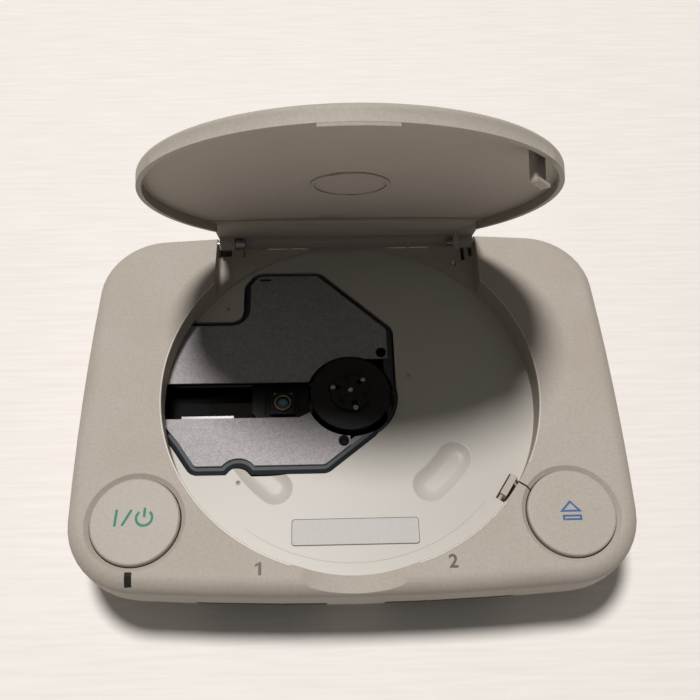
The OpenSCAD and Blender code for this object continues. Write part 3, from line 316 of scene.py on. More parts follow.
@dataclass(frozen=True)
class FramePlastic(MouldedPlastic):
    """The drive frame's plastic: its sloped rim is painted paler in front as light, and its glossy inside
    darker as painted shade.
    """

    rim_painted_light_colour: str = "#6b7074"
    rim_from_mm: float = 23.5
    rim_fade_mm: float = 0.15
    rim_front_mm: float = -12.0
    inside_painted_shade_colour: str = "#0a0c0d"
    inside_roughness: float = 0.08
    inside_top_mm: float = 22.2

    def blend(self, tree: Tree, place: Socket, base: Source, gloss: Source) -> Links:
        """Mixes the rim's painted light and the inside's painted shade in by height, the rim only in front;
        see MouldedPlastic.blend.
        """
        split = add_node(tree, "SeparateXYZ", {"Vector": place})
        height = split.outputs["Z"]
        fade = span(self.rim_from_mm * MM, (self.rim_from_mm + self.rim_fade_mm) * MM)
        high = add_node(tree, "MapRange", {"Value": height}, fade)
        # Painted light: only the front of the rim is painted paler; farther back the lid's shade falls on
        # it.
        end = {1: self.rim_front_mm * MM}
        front = add_node(tree, "Math", {0: split.outputs["Y"]}, end, operation="LESS_THAN")
        rim = add_node(tree, "Math", {0: high, 1: front}, operation="MULTIPLY")
        # Painted shade: below this height the inside is painted near black.
        deep = add_node(tree, "Math", {0: height}, {1: self.inside_top_mm * MM}, operation="LESS_THAN")
        for share, colour in ((rim, self.rim_painted_light_colour), (deep, self.inside_painted_shade_colour)):
            over = {COLOUR_B: linear(colour)}
            base = add_node(tree, "Mix", {SHARE: share, COLOUR_A: base}, over, data_type="RGBA")
        smooth = add_node(tree, "Mix", {SHARE: deep, NUMBER_A: gloss}, {NUMBER_B: self.inside_roughness})
        return {"Base Color": base, "Roughness": smooth}


@dataclass(frozen=True)
class FleckedPaint(Finish):
    """Sprayed metallic paint on sheet steel: pale flakes in a mid grey, with a few hairline scratches."""

    flake: str = "#c8c4c2"
    shade: str = "#858183"
    metallic: float = 0.25
    flake_mm: float = 0.45
    flake_depth_mm: float = 0.02
    flake_span: Triple = (0.4, 0.1, 0.6)
    mottle_mm: float = 1.6
    mottle_span: Triple = (0.35, 0.65, 0.7)
    scratch_turn: float = 0.9
    scratch_scale: Triple = (60, 1500, 60)
    scratch_span: Triple = (0.76, 0.8, 0.35)

    def pattern(self, tree: Tree, place: Socket) -> Links:
        """Adds flakes, mottling and scratches; see Finish.pattern."""
        cells = add_node(tree, "TexVoronoi", {"Vector": place}, {"Scale": pattern_scale(self.flake_mm)})
        mottle = add_node(tree, "TexNoise", {"Vector": place}, noise(self.mottle_mm, 3.0))
        # Scratches run across the plate, so the noise is stretched along one direction
        stretch = {"Rotation": (0, 0, self.scratch_turn), "Scale": self.scratch_scale}
        turned = add_node(tree, "Mapping", {"Vector": place}, stretch)
        lines = add_node(tree, "TexNoise", {"Vector": turned}, {"Scale": 1.0, "Detail": 1.0})
        shaded = add_node(tree, "MapRange", {"Value": mottle}, span(*self.mottle_span))
        tone = add_node(tree, "Mix", {SHARE: shaded}, tones(self.shade, self.colour), data_type="RGBA")
        flakes = add_node(tree, "MapRange", {"Value": cells}, span(*self.flake_span))
        scratch = add_node(tree, "MapRange", {"Value": lines}, span(*self.scratch_span))
        most = add_node(tree, "Math", {0: flakes, 1: scratch}, operation="MAXIMUM")
        pale = {COLOUR_B: linear(self.flake)}
        base = add_node(tree, "Mix", {SHARE: most, COLOUR_A: tone}, pale, data_type="RGBA")
        depth = {"Strength": 0.35, "Distance": self.flake_depth_mm * MM}
        relief = add_node(tree, "Bump", {"Height": cells}, depth)
        return {"Base Color": base, "Normal": relief}


@dataclass(frozen=True)
class BareMetal(Finish):
    """Drawn, turned or rolled metal: fine lines along the way it was worked."""

    metallic: float = 1.0
    dull: str = "#8f9092"
    streak: Streak = Streak.NONE
    line_mm: float = 0.5
    gloss_swing: float = 0.25

    def pattern(self, tree: Tree, place: Socket) -> Links:
        """Adds worked lines to colour and roughness; see Finish.pattern."""
        drawn = add_node(tree, "Mapping", {"Vector": place}, {"Scale": self.streak.value})
        lines = add_node(tree, "TexNoise", {"Vector": drawn}, noise(self.line_mm, 3.0))
        tone = add_node(tree, "Mix", {SHARE: lines}, tones(self.colour, self.dull), data_type="RGBA")
        least, most = (self.roughness * (1 + way * self.gloss_swing) for way in (-1, 1))
        gloss = add_node(tree, "MapRange", {"Value": lines}, span(*NOISE_REACH, most, least))
        return {"Base Color": tone, "Roughness": gloss}


@dataclass(frozen=True)
class PrintedInk(Finish):
    """Pad-printed ink: an even film, thin in specks where the grain shows through."""

    thin: str = "#b8afa4"
    speck_mm: float = 0.6
    speck_span: Triple = (0.58, 0.8, 0.4)
    specular: float = 0.2

    def pattern(self, tree: Tree, place: Socket) -> Links:
        """Adds the worn specks; see Finish.pattern."""
        specks = add_node(tree, "TexNoise", {"Vector": place}, noise(self.speck_mm, 3.0))
        share = add_node(tree, "MapRange", {"Value": specks}, span(*self.speck_span))
        tone = add_node(tree, "Mix", {SHARE: share}, tones(self.colour, self.thin), data_type="RGBA")
        return {"Base Color": tone}


@dataclass(frozen=True)
class CoatedGlass(Finish):
    """A moulded lens with a blue-green coating, palest in the middle as a painted highlight and darker
    towards its rim.
    """

    rim: str = "#061a20"
    middle_mm: Triple = (-25.0, 0.6, 23.0)
    painted_highlight_r_mm: float = 0.5
    radius_mm: float = 2.4

    def constants(self) -> Values:
        """Returns the glass's constants; see Finish.constants."""
        return super().constants() | {"IOR": 1.52, "Coat Weight": 1.0, "Coat Roughness": 0.03}

    def pattern(self, tree: Tree, place: Socket) -> Links:
        """Adds the painted highlight in the middle and the darker rim; see Finish.pattern."""
        middle = [-c * MM for c in self.middle_mm]
        centred = add_node(tree, "Mapping", {"Vector": place}, {"Location": middle})
        reach = add_node(tree, "VectorMath", {0: centred}, operation="LENGTH")
        # Painted highlight: the colour is palest within this radius and darkens out to the rim.
        darker = span(self.painted_highlight_r_mm * MM, self.radius_mm * MM)
        share = add_node(tree, "MapRange", {"Value": reach}, darker)
        tone = add_node(tree, "Mix", {SHARE: share}, tones(self.colour, self.rim), data_type="RGBA")
        return {"Base Color": tone}


@dataclass(frozen=True)
class CircuitBoard(Finish):
    """Glass-fibre laminate under solder mask: paler lines where copper tracks run below."""

    track: str = "#3f7d4e"
    pitch_mm: float = 2.5
    track_span: Triple = (0.55, 0.62, 0.8)
    track_depth_mm: float = 0.03

    def pattern(self, tree: Tree, place: Socket) -> Links:
        """Adds the tracks; see Finish.pattern."""
        size = {"Scale": pattern_scale(self.pitch_mm)}
        cells = add_node(tree, "TexVoronoi", {"Vector": place}, size, distance="MANHATTAN", feature="F2")
        share = add_node(tree, "MapRange", {"Value": cells}, span(*self.track_span))
        tone = add_node(tree, "Mix", {SHARE: share}, tones(self.colour, self.track), data_type="RGBA")
        depth = {"Strength": 0.4, "Distance": self.track_depth_mm * MM}
        relief = add_node(tree, "Bump", {"Height": share}, depth)
        return {"Base Color": tone, "Normal": relief}


@dataclass(frozen=True)
class SoftSheet(Finish):
    """Paper, film, laminate or rubber sheet: fine mottling and a faint relief."""

    mottle: str = "#2a2a2b"
    mottle_reach: Point = (0.35, 0.68)
    grain_mm: float = 1.2
    depth_mm: float = 0.015
    stretch: Streak = Streak.NONE

    def pattern(self, tree: Tree, place: Socket) -> Links:
        """Adds mottling and relief; see Finish.pattern."""
        drawn = add_node(tree, "Mapping", {"Vector": place}, {"Scale": self.stretch.value})
        grain = add_node(tree, "TexNoise", {"Vector": drawn}, noise(self.grain_mm, 4.0))
        share = add_node(tree, "MapRange", {"Value": grain}, span(*self.mottle_reach))
        tone = add_node(tree, "Mix", {SHARE: share}, tones(self.colour, self.mottle), data_type="RGBA")
        depth = {"Strength": 0.5, "Distance": self.depth_mm * MM}
        relief = add_node(tree, "Bump", {"Height": grain}, depth)
        return {"Base Color": tone, "Normal": relief}


# Warm light grey ABS; the mould's fine grain spreads highlights into a soft sheen, and the well floor's
# paler tone is painted sheen
SHELL_ABS = WellPlastic("abs_shell_light_grey", "#b4aca2", 0.62, aged="#afa599", specular=0.3)
LID_ABS = MouldedPlastic(
    "abs_lid_light_grey", "#b3aba1", 0.55, aged="#b0a89d", grain_depth_mm=0.006, specular=0.25
)
# The well's rim, rubbed smooth by the lid and painted pale as a highlight: a fine bright line round the
# well
RIM_HIGHLIGHT_ABS = MouldedPlastic("abs_rim_painted_highlight", "#d3cdc4", 0.4, aged="#c9c3b9", grain_depth_mm=0.003)
BUTTON_ABS = MouldedPlastic(
    "abs_button_light_grey", "#b4aca2", 0.5, aged="#aea69a", grain_depth_mm=0.006, specular=0.35
)
# Blue-black ABS of the drive's frame, half gloss, so its slopes catch a grey light; its paler front rim is
# painted light and its darker inside painted shade
FRAME_ABS = FramePlastic("abs_drive_frame_blue_black", "#2a3034", 0.4, aged="#252a2e", grain_depth_mm=0.006)
# Filled black nylon of turntable, pickup and small parts: matt and nearly neutral
BLACK_NYLON = MouldedPlastic(
    "nylon_black_filled", "#101112", 0.5, aged="#151616", grain_depth_mm=0.006, specular=0.3
)
# On the card doors this dark grey is partly painted shade in the slots.
DARK_ABS = MouldedPlastic("abs_port_dark_grey", "#2f2f31", 0.45, aged="#38383a", grain_depth_mm=0.008)
WHITE_ACETAL = MouldedPlastic("acetal_natural_white", "#d8d3c6", 0.38, aged="#cdc6b6", grain_depth_mm=0.004)
# Polished black plastic that mirrors the light in a narrow strip
GLOSS_BLACK = MouldedPlastic(
    "abs_black_polished", "#0b0d0f", 0.24, aged="#0f1214", grain_depth_mm=0.001, specular=0.35
)
COVER_PAINT = FleckedPaint("steel_sheet_flecked_grey_paint", "#959191", 0.55)
STEEL = BareMetal("steel_zinc_plated", "#c3c5c8", 0.32)
SHIELD_TIN = BareMetal("steel_sheet_tinned", "#b9bbbd", 0.38, streak=Streak.ALONG_X)
BALL_STEEL = BareMetal("steel_ball_polished", "#b2b3b5", 0.14, line_mm=0.3)
# Ground rails under an oil film, darker than dry steel
RAIL_STEEL = BareMetal("steel_rail_oiled", "#4c4e50", 0.25, dull="#343638", streak=Streak.ALONG_X)
BLACK_STEEL = BareMetal("steel_black_oxide", "#18181b", 0.5, dull="#0d0d0f")
GOLD_PLATE = BareMetal("brass_gold_plated", "#c9a24a", 0.28, dull="#a27c33")
LENS_BRASS = BareMetal("brass_lens_ring_worn", "#aa9d84", 0.35, dull="#4d463b", line_mm=0.9)
# The lens's pale blue middle colour is a painted highlight.
LENS_GLASS = CoatedGlass("glass_lens_coated_painted_highlight", "#2d7285", 0.05)
BOARD = CircuitBoard("laminate_green_solder_mask", "#1f5a33", 0.32)
RUBBER = SoftSheet("rubber_moulded_dark_grey", "#252525", 0.75, mottle="#333233")
FLEX_FILM = SoftSheet("polyimide_film_amber", "#9c5c20", 0.25, mottle="#7d4616", depth_mm=0.004)
SMOKED = SoftSheet("polycarbonate_smoked", "#23241f", 0.16, mottle="#2c2d27", depth_mm=0.002)
LAMP_LENS = SoftSheet("epoxy_lamp_green", "#7fb98a", 0.2, mottle="#6ba577", depth_mm=0.002)
LABEL_FOIL = SoftSheet(
    "aluminium_foil_label_satin", "#b9b6b1", 0.5, mottle="#b4b1ac", grain_mm=0.8, depth_mm=0.004
)
# Fine ridges across the picture, drawn a little coarser than they are
TABLE_TOP = SoftSheet(
    "tabletop_pale_laminate", "#f4f0eb", 0.6, mottle="#eee9e3", grain_mm=1.6, depth_mm=0.12,
    stretch=Streak.ALONG_X,
)
TEAL_INK = PrintedInk("ink_teal", "#2a8468", 0.5)
BLUE_INK = PrintedInk("ink_blue", "#42659a", 0.5)
GREY_INK = PrintedInk("ink_warm_grey", "#5d554c", 0.45)
LABEL_INK = PrintedInk("ink_dark_grey", "#5f5c58", 0.45, thin="#8c8984")

# Finishes of the CAD nodes that stay in view
NODE_FINISHES: dict[Finish, tuple[str, ...]] = {
    STEEL: (
        "case_screws", "board_screws", "drive_screws", "spindle_shaft", "hinge_pins",
        "hinge_spring", "power_spring", "open_spring", "latch_spring",
    ),
    BALL_STEEL: ("clamp_ball_1", "clamp_ball_2", "clamp_ball_3"),
    BLACK_STEEL: ("cover_screws",),
    RAIL_STEEL: ("guide_rails",),
    SHIELD_TIN: ("spindle_motor", "sled_motor", "upper_shield", "lower_shield"),
    GOLD_PLATE: ("port_contacts",),
    BLACK_NYLON: ("sled_rack", "board_chips", "capacitors", "power_switch", "lid_switch"),
    WHITE_ACETAL: ("motor_pinion", "rack_gear", "board_connectors", "switch_plunger"),
    BOARD: ("main_board", "switch_board", "port_board"),
    RUBBER: ("rubber_feet", "drive_grommets"),
    FLEX_FILM: ("drive_flex",),
    SMOKED: ("led_window",),
    LAMP_LENS: ("power_led",),
    LENS_GLASS: ("objective_lens",),
}


def fresh(add: Callable[..., object], **settings: object) -> Piece:
    """Returns the object that an operator adds with these settings, alone selected."""
    bpy.ops.object.select_all(action="DESELECT")
    add(**settings)
    return bpy.context.object


def take(piece: Piece) -> None:
    """Selects one object alone and makes it active."""
    bpy.ops.object.select_all(action="DESELECT")
    piece.select_set(True)
    bpy.context.view_layer.objects.active = piece


def copy_of(piece: Piece) -> Piece:
    """Returns a copy of an object, which is active."""
    take(piece)
    bpy.ops.object.duplicate()
    return bpy.context.object


def select(piece: Piece, kind: Pick, test: Callable[[Vector, Vector], bool]) -> None:
    """Selects parts of the mesh being edited by their place and normal.

    Args:
        piece: The object in edit mode.
        kind: Vertices, edges or faces.
        test: Tells from a middle point and a normal whether it is taken; an edge's normal is its direction.
    """
    bpy.ops.mesh.select_mode(type=kind.value)
    bpy.ops.mesh.select_all(action="DESELECT")
    mesh = bmesh.from_edit_mesh(piece.data)
    if kind is Pick.VERTS:
        found = [v for v in mesh.verts if test(v.co, v.normal)]
    elif kind is Pick.EDGES:
        ends = [(e, e.verts[0].co, e.verts[1].co) for e in mesh.edges]
        found = [e for e, a, b in ends if test((a + b) / 2, (b - a).normalized())]
    else:
        found = [f for f in mesh.faces if test(f.calc_center_median(), f.normal)]
    for part in found:
        part.select_set(True)
    mesh.select_flush_mode()
    bmesh.update_edit_mesh(piece.data)


def looks_up(_: Vector, normal: Vector) -> bool:
    """Tells whether a face looks upwards."""
    return normal.z > ALONG


def edit_all() -> None:
    """Opens the active mesh for editing, with all of it selected."""
    bpy.ops.object.mode_set(mode="EDIT")
    bpy.ops.mesh.select_all(action="SELECT")


def edit_sized(piece: Piece, size: Vector | Triple) -> None:
    """Stretches a piece to its size and opens its mesh for editing.

    Args:
        piece: The active object.
        size: Its stretch along X, Y and Z.
    """
    piece.scale = size
    bpy.ops.object.transform_apply(location=False, rotation=False, scale=True)
    edit_all()


def raise_sheet(height: float) -> None:
    """Gives the flat mesh being edited a thickness upwards, and turns its faces outwards.

    Args:
        height: Thickness in millimetres.
    """
    bpy.ops.mesh.select_all(action="SELECT")
    bpy.ops.mesh.extrude_region_move(TRANSFORM_OT_translate={"value": (0, 0, height * MM)})
    bpy.ops.mesh.select_all(action="SELECT")
    bpy.ops.mesh.normals_make_consistent(inside=False)


def raise_outline(stroke: float, height: float) -> None:
    """Cuts the middle out of the flat face being edited and gives what stays a thickness.

    Args:
        stroke: Width of what stays, in millimetres.
        height: Thickness in millimetres.
    """
    bpy.ops.mesh.select_all(action="SELECT")
    bpy.ops.mesh.inset(thickness=stroke * MM)
    bpy.ops.mesh.delete(type="FACE")
    raise_sheet(height)


def printed_stroke(ends: Pair, width: float, top: float, film: float) -> Piece:
    """Models a straight printed stroke with rounded ends.

    Args:
        ends: Its two end points in millimetres.
        width: Its width in millimetres.
        top: Height of the face that carries it, in metres.
        film: Its thickness in millimetres.

    Returns:
        The stroke, still in edit mode.
    """
    (x0, y0), (x1, y1) = ends
    piece = fresh(
        bpy.ops.mesh.primitive_plane_add,
        size=MM,
        location=((x0 + x1) / 2 * MM, (y0 + y1) / 2 * MM, top),
        rotation=(0, 0, math.atan2(y1 - y0, x1 - x0)),
    )
    edit_sized(piece, (math.hypot(x1 - x0, y1 - y0), width, 1))
    bpy.ops.mesh.bevel(offset=width * STROKE_ROUNDING * MM, segments=4, affect="VERTICES")
    raise_sheet(film)
    return piece


def swept_strip(
    axis: Vector, radius: float, width: float, ends_deg: Point, rise: float, around: int = 384
) -> Piece:
    """Models a strip along part of a circle.

    Args:
        axis: Middle of the circle, at the height of the strip's underside, in millimetres.
        radius: Radius of the strip's middle line.
        width: Its width.
        ends_deg: Angles of its two ends, from the right and turning left.
        rise: Its height.
        around: Corners of the whole circle.

    Returns:
        The strip, still in edit mode.
    """
    start, end = (math.radians(a) for a in ends_deg)
    outer = radius + width / 2
    piece = fresh(
        bpy.ops.mesh.primitive_circle_add,
        vertices=around, radius=outer * MM, fill_type="NOTHING", location=axis * MM,
    )
    edit_all()
    select(piece, Pick.VERTS, lambda at, _: (math.atan2(at.y, at.x) - start) % math.tau > end - start)
    bpy.ops.mesh.delete(type="VERT")
    bpy.ops.mesh.select_all(action="SELECT")
    bpy.ops.mesh.extrude_edges_indiv()
    share = 1 - width / outer
    bpy.ops.transform.resize(value=(share, share, 1), center_override=axis * MM)
    raise_sheet(rise)
    return piece


def domed_pin(foot: Vector, radius: float, rise: float, rounding: float, around: int, steps: int) -> Piece:
    """Models a short upright pin whose upper edge is rounded over.

    Args:
        foot: The middle of its foot, in metres.
        radius: Its radius in millimetres.
        rise: Its height in millimetres.
        rounding: How far the rounding reaches, in millimetres.
        around: Corners of its circle.
        steps: Steps of the rounding.

    Returns:
        The pin, still at its place.
    """
    piece = fresh(
        bpy.ops.mesh.primitive_cylinder_add,
        vertices=around, radius=radius * MM, depth=rise * MM, location=foot + Vector((0, 0, rise * MM / 2)),
    )
    edit_all()
    select(piece, Pick.FACES, looks_up)
    bpy.ops.mesh.bevel(offset=rounding * MM, segments=steps)
    bpy.ops.object.mode_set(mode="OBJECT")
    return piece


def apply_modifier(piece: Piece, kind: str, **settings: object) -> None:
    """Adds a modifier and applies it.

    Args:
        piece: The object, which becomes active.
        kind: The modifier's type.
        **settings: Its properties.
    """
    bpy.context.view_layer.objects.active = piece
    made = piece.modifiers.new(kind.lower(), kind)
    for key, value in settings.items():
        setattr(made, key, value)
    bpy.ops.object.modifier_apply(modifier=made.name)


def finish_piece(
    piece: Piece, name: str, body: Body | str, finish: Finish,
    smooth_deg: float = 35.0, weighing: Weighing = Weighing.AREA,
) -> None:
    """Puts a piece's place into its mesh, dresses it and ties it to the frame.

    Args:
        piece: The modelled object.
        name: Its name.
        body: The body that it rides on.
        finish: Its surface.
        smooth_deg: Edges flatter than this are shaded smooth.
        weighing: How its faces share in the normals.
    """
    if bpy.context.mode != "OBJECT":
        bpy.ops.object.mode_set(mode="OBJECT")
    take(piece)
    bpy.ops.object.transform_apply(location=True, rotation=True, scale=True)
    bpy.ops.object.shade_smooth_by_angle(angle=math.radians(smooth_deg))
    # Weighed by area, flat faces keep their own normals and shading bends only over the rounded edges
    apply_modifier(piece, "WEIGHTED_NORMAL", keep_sharp=True, weight=50, mode=weighing.value)
    piece.name = name
    piece.data.name = name
    piece.data.materials.clear()
    piece.data.materials.append(finish.material())
    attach(piece, body.value if isinstance(body, Body) else body)
    LOG.info("%s: %d faces, %s", name, len(piece.data.polygons), finish.name)


@dataclass
class DressedSolid:
    """A CAD solid taken over with welded faces, rounded edges and smooth shading."""

    node: str
    slot: str
    finish: Finish
    edge_mm: float = 0.2
    weld_mm: float = 0.002
    flat_deg: float = 0.6
    edge_deg: float = 33.0
    smooth_deg: float = 24.0
    weighing: Weighing = Weighing.AREA

    def build(self) -> None:
        """Copies, welds and rounds the solid."""
        source = frame["nodes"][self.node]
        body = source["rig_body"]
        piece = copy_of(source)
        bpy.ops.object.parent_clear(type="CLEAR_KEEP_TRANSFORM")
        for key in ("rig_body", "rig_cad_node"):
            if key in piece:
                del piece[key]
        edit_all()
        bpy.ops.mesh.remove_doubles(threshold=self.weld_mm * MM)
        flat = math.radians(self.flat_deg)
        bpy.ops.mesh.dissolve_limited(angle_limit=flat, use_dissolve_boundaries=False)
        bpy.ops.object.mode_set(mode="OBJECT")
        if self.edge_mm > 0:
            apply_modifier(
                piece, "BEVEL", width=self.edge_mm * MM, segments=2, limit_method="ANGLE",
                angle_limit=math.radians(self.edge_deg), use_clamp_overlap=True, miter_outer="MITER_ARC",
            )
        name = self.node + "_dressed"
        finish_piece(piece, name, body, self.finish, self.smooth_deg, self.weighing)
        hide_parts(self.node)


# The pieces that only the scene has, with their lengths in millimetres


@dataclass
class PowerMark:
    """The standby ring with its bar, and the on bar and slash, printed on the power button."""

    ring_at: Point = (-69.1, -46.1)
    ring_r: float = 2.6
    ring_ends_deg: Point = (126.0, 414.0)
    ring_bar: Pair = ((-69.1, -45.9), (-69.1, -42.6))
    on_bar: Pair = ((-78.5, -48.9), (-78.3, -43.1))
    slash: Pair = ((-76.2, -48.7), (-73.4, -43.2))
    stroke: float = 0.86
    film: float = 0.04

    def build(self) -> None:
        """Models the ring, open at the top, and the three bars."""
        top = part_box("power_button")[1].z
        middle = Vector((*self.ring_at, top / MM))
        ring = swept_strip(middle, self.ring_r, self.stroke, self.ring_ends_deg, self.film, around=72)
        finish_piece(ring, "power_mark_ring", Body.POWER_KEY, TEAL_INK)
        for name, ends in (("bar", self.ring_bar), ("on", self.on_bar), ("slash", self.slash)):
            stroke = printed_stroke(ends, self.stroke, top, self.film)
            finish_piece(stroke, "power_mark_" + name, Body.POWER_KEY, TEAL_INK)


@dataclass
class OpenMark:
    """The outlined triangle and bar printed on the open button."""

    corners: tuple[Point, Point, Point] = ((68.1, -47.0), (75.6, -47.0), (71.9, -43.0))
    bar: Pair = ((68.8, -49.9), (75.2, -48.0))
    stroke: float = 0.68
    film: float = 0.04

    def build(self) -> None:
        """Models both outlines from sheets whose middles are cut out."""
        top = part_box("open_button")[1].z
        triangle = fresh(
            bpy.ops.mesh.primitive_circle_add, vertices=3, radius=MM, fill_type="NGON", location=(0, 0, top)
        )
        edit_all()
        mesh = bmesh.from_edit_mesh(triangle.data)
        for vert, (x, y) in zip(mesh.verts, self.ordered(mesh)):
            vert.co = (x * MM, y * MM, 0)
        bmesh.update_edit_mesh(triangle.data)
        self.outline(triangle, "open_mark_triangle")
        (x0, y0), (x1, y1) = self.bar
        middle = ((x0 + x1) / 2 * MM, (y0 + y1) / 2 * MM, top)
        bar = fresh(bpy.ops.mesh.primitive_plane_add, size=MM, location=middle)
        edit_sized(bar, (x1 - x0, y1 - y0, 1))
        self.outline(bar, "open_mark_bar")

    def ordered(self, mesh: bmesh.types.BMesh) -> tuple[Point, ...]:
        """Returns the triangle's corners turning the same way round as the mesh's vertices."""
        a, b, c = (v.co for v in mesh.verts)
        return self.corners if (b - a).cross(c - a).z > 0 else self.corners[::-1]

    def outline(self, piece: Piece, name: str) -> None:
        """Turns the flat face being edited into a printed outline."""
        raise_outline(self.stroke, self.film)
        finish_piece(piece, name, Body.OPEN_KEY, BLUE_INK)


@dataclass
class PortNumbers:
    """Plain numbers over the two ports, printed on the top."""

    one_at: Point = (-30.8, -63.5)
    two_at: Point = (31.4, -62.6)
    height: float = 4.3
    stroke: float = 1.0
    # The one's flag, from the upper left corner of its bar, and its stroke as a share of the bar's
    flag: Pair = ((0.0, -0.55), (-1.1, -1.25))
    flag_share: float = 0.7
    # A figure's height as a share of its type's size
    figure_share: float = 0.7
    bold: float = 0.13
    weld: float = 0.001
    film: float = 0.05

    def build(self) -> None:
        """Models the one from two strokes and the two from text made a mesh."""
        x, y = self.one_at
        low, high = y - self.height / 2, y + self.height / 2
        start, end = ((x - self.stroke / 2 + across, high + up) for across, up in self.flag)
        strokes = (
            ("bar", ((x, low), (x, high)), self.stroke),
            ("flag", (start, end), self.flag_share * self.stroke),
        )
        for name, ends, width in strokes:
            stroke = printed_stroke(ends, width, SHELL_TOP * MM, self.film)
            finish_piece(stroke, "port_number_1_" + name, Body.CONSOLE, GREY_INK)
        self.two()

    def two(self) -> None:
        """Models the two."""
        piece = fresh(bpy.ops.object.text_add, location=Vector((*self.two_at, SHELL_TOP)) * MM)
        piece.data.body = "2"
        piece.data.size = self.height / self.figure_share * MM
        piece.data.align_x = "CENTER"
        piece.data.align_y = "CENTER"
        piece.data.resolution_u = 6
        piece.data.offset = self.bold * MM
        bpy.ops.object.convert(target="MESH")
        piece = bpy.context.object
        edit_all()
        bpy.ops.mesh.remove_doubles(threshold=self.weld * MM)
        raise_sheet(self.film)
        finish_piece(piece, "port_number_2", Body.CONSOLE, GREY_INK)


@dataclass
class LabelPlate:
    """The bare foil label on the well's floor, with rounded corners and a pressed border."""

    corner_r: float = 1.1
    corner_steps: int = 6
    border: float = 0.7
    press: float = 0.06
    press_w: float = 0.12
    line: float = 0.22
    film: float = 0.02

    def build(self) -> None:
        """Models the label in place of the CAD's, and the line printed round it."""
        low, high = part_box("label_plate")
        piece = fresh(bpy.ops.mesh.primitive_cube_add, size=1, location=(low + high) / 2)
        edit_sized(piece, high - low)
        select(piece, Pick.EDGES, lambda _, along: abs(along.z) > ALONG)
        bpy.ops.mesh.bevel(offset=self.corner_r * MM, segments=self.corner_steps)
        select(piece, Pick.FACES, looks_up)
        bpy.ops.mesh.inset(thickness=self.border * MM)
        bpy.ops.mesh.inset(thickness=self.press_w * MM, depth=-self.press * MM)
        finish_piece(piece, "label_foil", Body.CONSOLE, LABEL_FOIL)
        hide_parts("label_plate")
        self.outline(low, high)

    def outline(self, low: Vector, high: Vector) -> None:
        """Models the line printed along the label's edge.

        Args:
            low: The label's lowest corner.
            high: Its highest corner.
        """
        middle = (low + high) / 2
        piece = fresh(bpy.ops.mesh.primitive_plane_add, size=1, location=(middle.x, middle.y, high.z))
        edit_sized(piece, (high.x - low.x, high.y - low.y, 1))
        bpy.ops.mesh.bevel(offset=self.corner_r * MM, segments=self.corner_steps, affect="VERTICES")
        raise_outline(self.line, self.film)
        finish_piece(piece, "label_line", Body.CONSOLE, LABEL_INK)


@dataclass
class LensTrim:
    """The worn brass ring round the lens and the two bright pins beside it."""

    ring_inner: float = 2.5
    ring_outer: float = 3.05
    ring_h: float = 0.16
    ring_edge: float = 0.06
    pins: Pair = ((-3.0, 3.75), (3.0, 3.75))
    pin_r: float = 0.36
    pin_h: float = 0.28
    pin_sunk: float = 0.42
    # Rounding of a pin's head, as a share of its radius
    pin_dome: float = 0.6
    # How near to a circle an edge's middle counts as lying on it
    near: float = 0.05

    def build(self) -> None:
        """Models ring and pins on the lens holder."""
        low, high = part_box("lens_holder")
        middle = (low + high) / 2
        self.ring(Vector((middle.x, middle.y, high.z)))
        (x, y), (second_x, _) = self.pins
        foot = Vector((middle.x + x * MM, middle.y + y * MM, high.z - self.pin_sunk * MM))
        first = domed_pin(foot, self.pin_r, self.pin_h, self.pin_dome * self.pin_r, around=24, steps=3)
        second = copy_of(first)
        second.location.x += (second_x - x) * MM
        for number, piece in enumerate((first, second), 1):
            finish_piece(piece, f"lens_pin_{number}", Body.LENS, STEEL)

    def ring(self, at: Vector) -> None:
        """Models the ring from a disc whose middle is cut out and whose rim is rounded.

        Args:
            at: The middle of its underside.
        """
        piece = fresh(
            bpy.ops.mesh.primitive_circle_add,
            vertices=64, radius=self.ring_outer * MM, fill_type="NGON", location=at,
        )
        edit_all()
        raise_outline(self.ring_outer - self.ring_inner, self.ring_h)
        select(piece, Pick.EDGES, self.on_rim)
        bpy.ops.mesh.bevel(offset=self.ring_edge * MM, segments=2)
        finish_piece(piece, "lens_ring", Body.LENS, LENS_BRASS)

    def on_rim(self, place: Vector, along: Vector) -> bool:
        """Tells whether an edge runs along the inner or outer circle of the ring's upper face."""
        off = min(abs(math.hypot(place.x, place.y) / MM - r) for r in (self.ring_inner, self.ring_outer))
        high = self.ring_h - place.z / MM < self.near
        return off < self.near and high and abs(along.z) < ACROSS


@dataclass
class SlotLip:
    """The polished black lip along the front of the pickup slot, which mirrors the light in a strip."""

    low: Triple = (-61.5, -6.5, 22.9)
    high: Triple = (-42.5, -4.9, 24.35)
    fall: float = 0.21
    edge_r: float = 0.4

    def build(self) -> None:
        """Models the lip from a bar whose top falls to the front and whose upper rear edge is rounded."""
        low, high = (Vector(corner) * MM for corner in (self.low, self.high))
        piece = fresh(bpy.ops.mesh.primitive_cube_add, size=1, location=(low + high) / 2)
        edit_sized(piece, high - low)
        select(piece, Pick.VERTS, lambda at, _: at.z > 0 and at.y < 0)
        bpy.ops.transform.translate(value=(0, 0, -self.fall * MM))
        select(piece, Pick.EDGES, lambda at, along: abs(along.x) > ALONG and at.z > 0 and at.y > 0)
        bpy.ops.mesh.bevel(offset=self.edge_r * MM, segments=4)
        finish_piece(piece, "slot_lip", Body.CONSOLE, GLOSS_BLACK)


@dataclass
class HubTip:
    """The bright domed end of the spindle in the middle of the hub."""

    radius: float = 1.0
    rise: float = 0.4
    # Rounding of its end, as a share of its height
    dome: float = 0.8

    def build(self) -> None:
        """Models the tip on the turntable's top."""
        foot = Vector((0, AXIS_Y * MM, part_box("turntable")[1].z))
        piece = domed_pin(foot, self.radius, self.rise, self.dome * self.rise, around=32, steps=4)
        finish_piece(piece, "hub_tip", Body.DISC_HUB, BALL_STEEL)


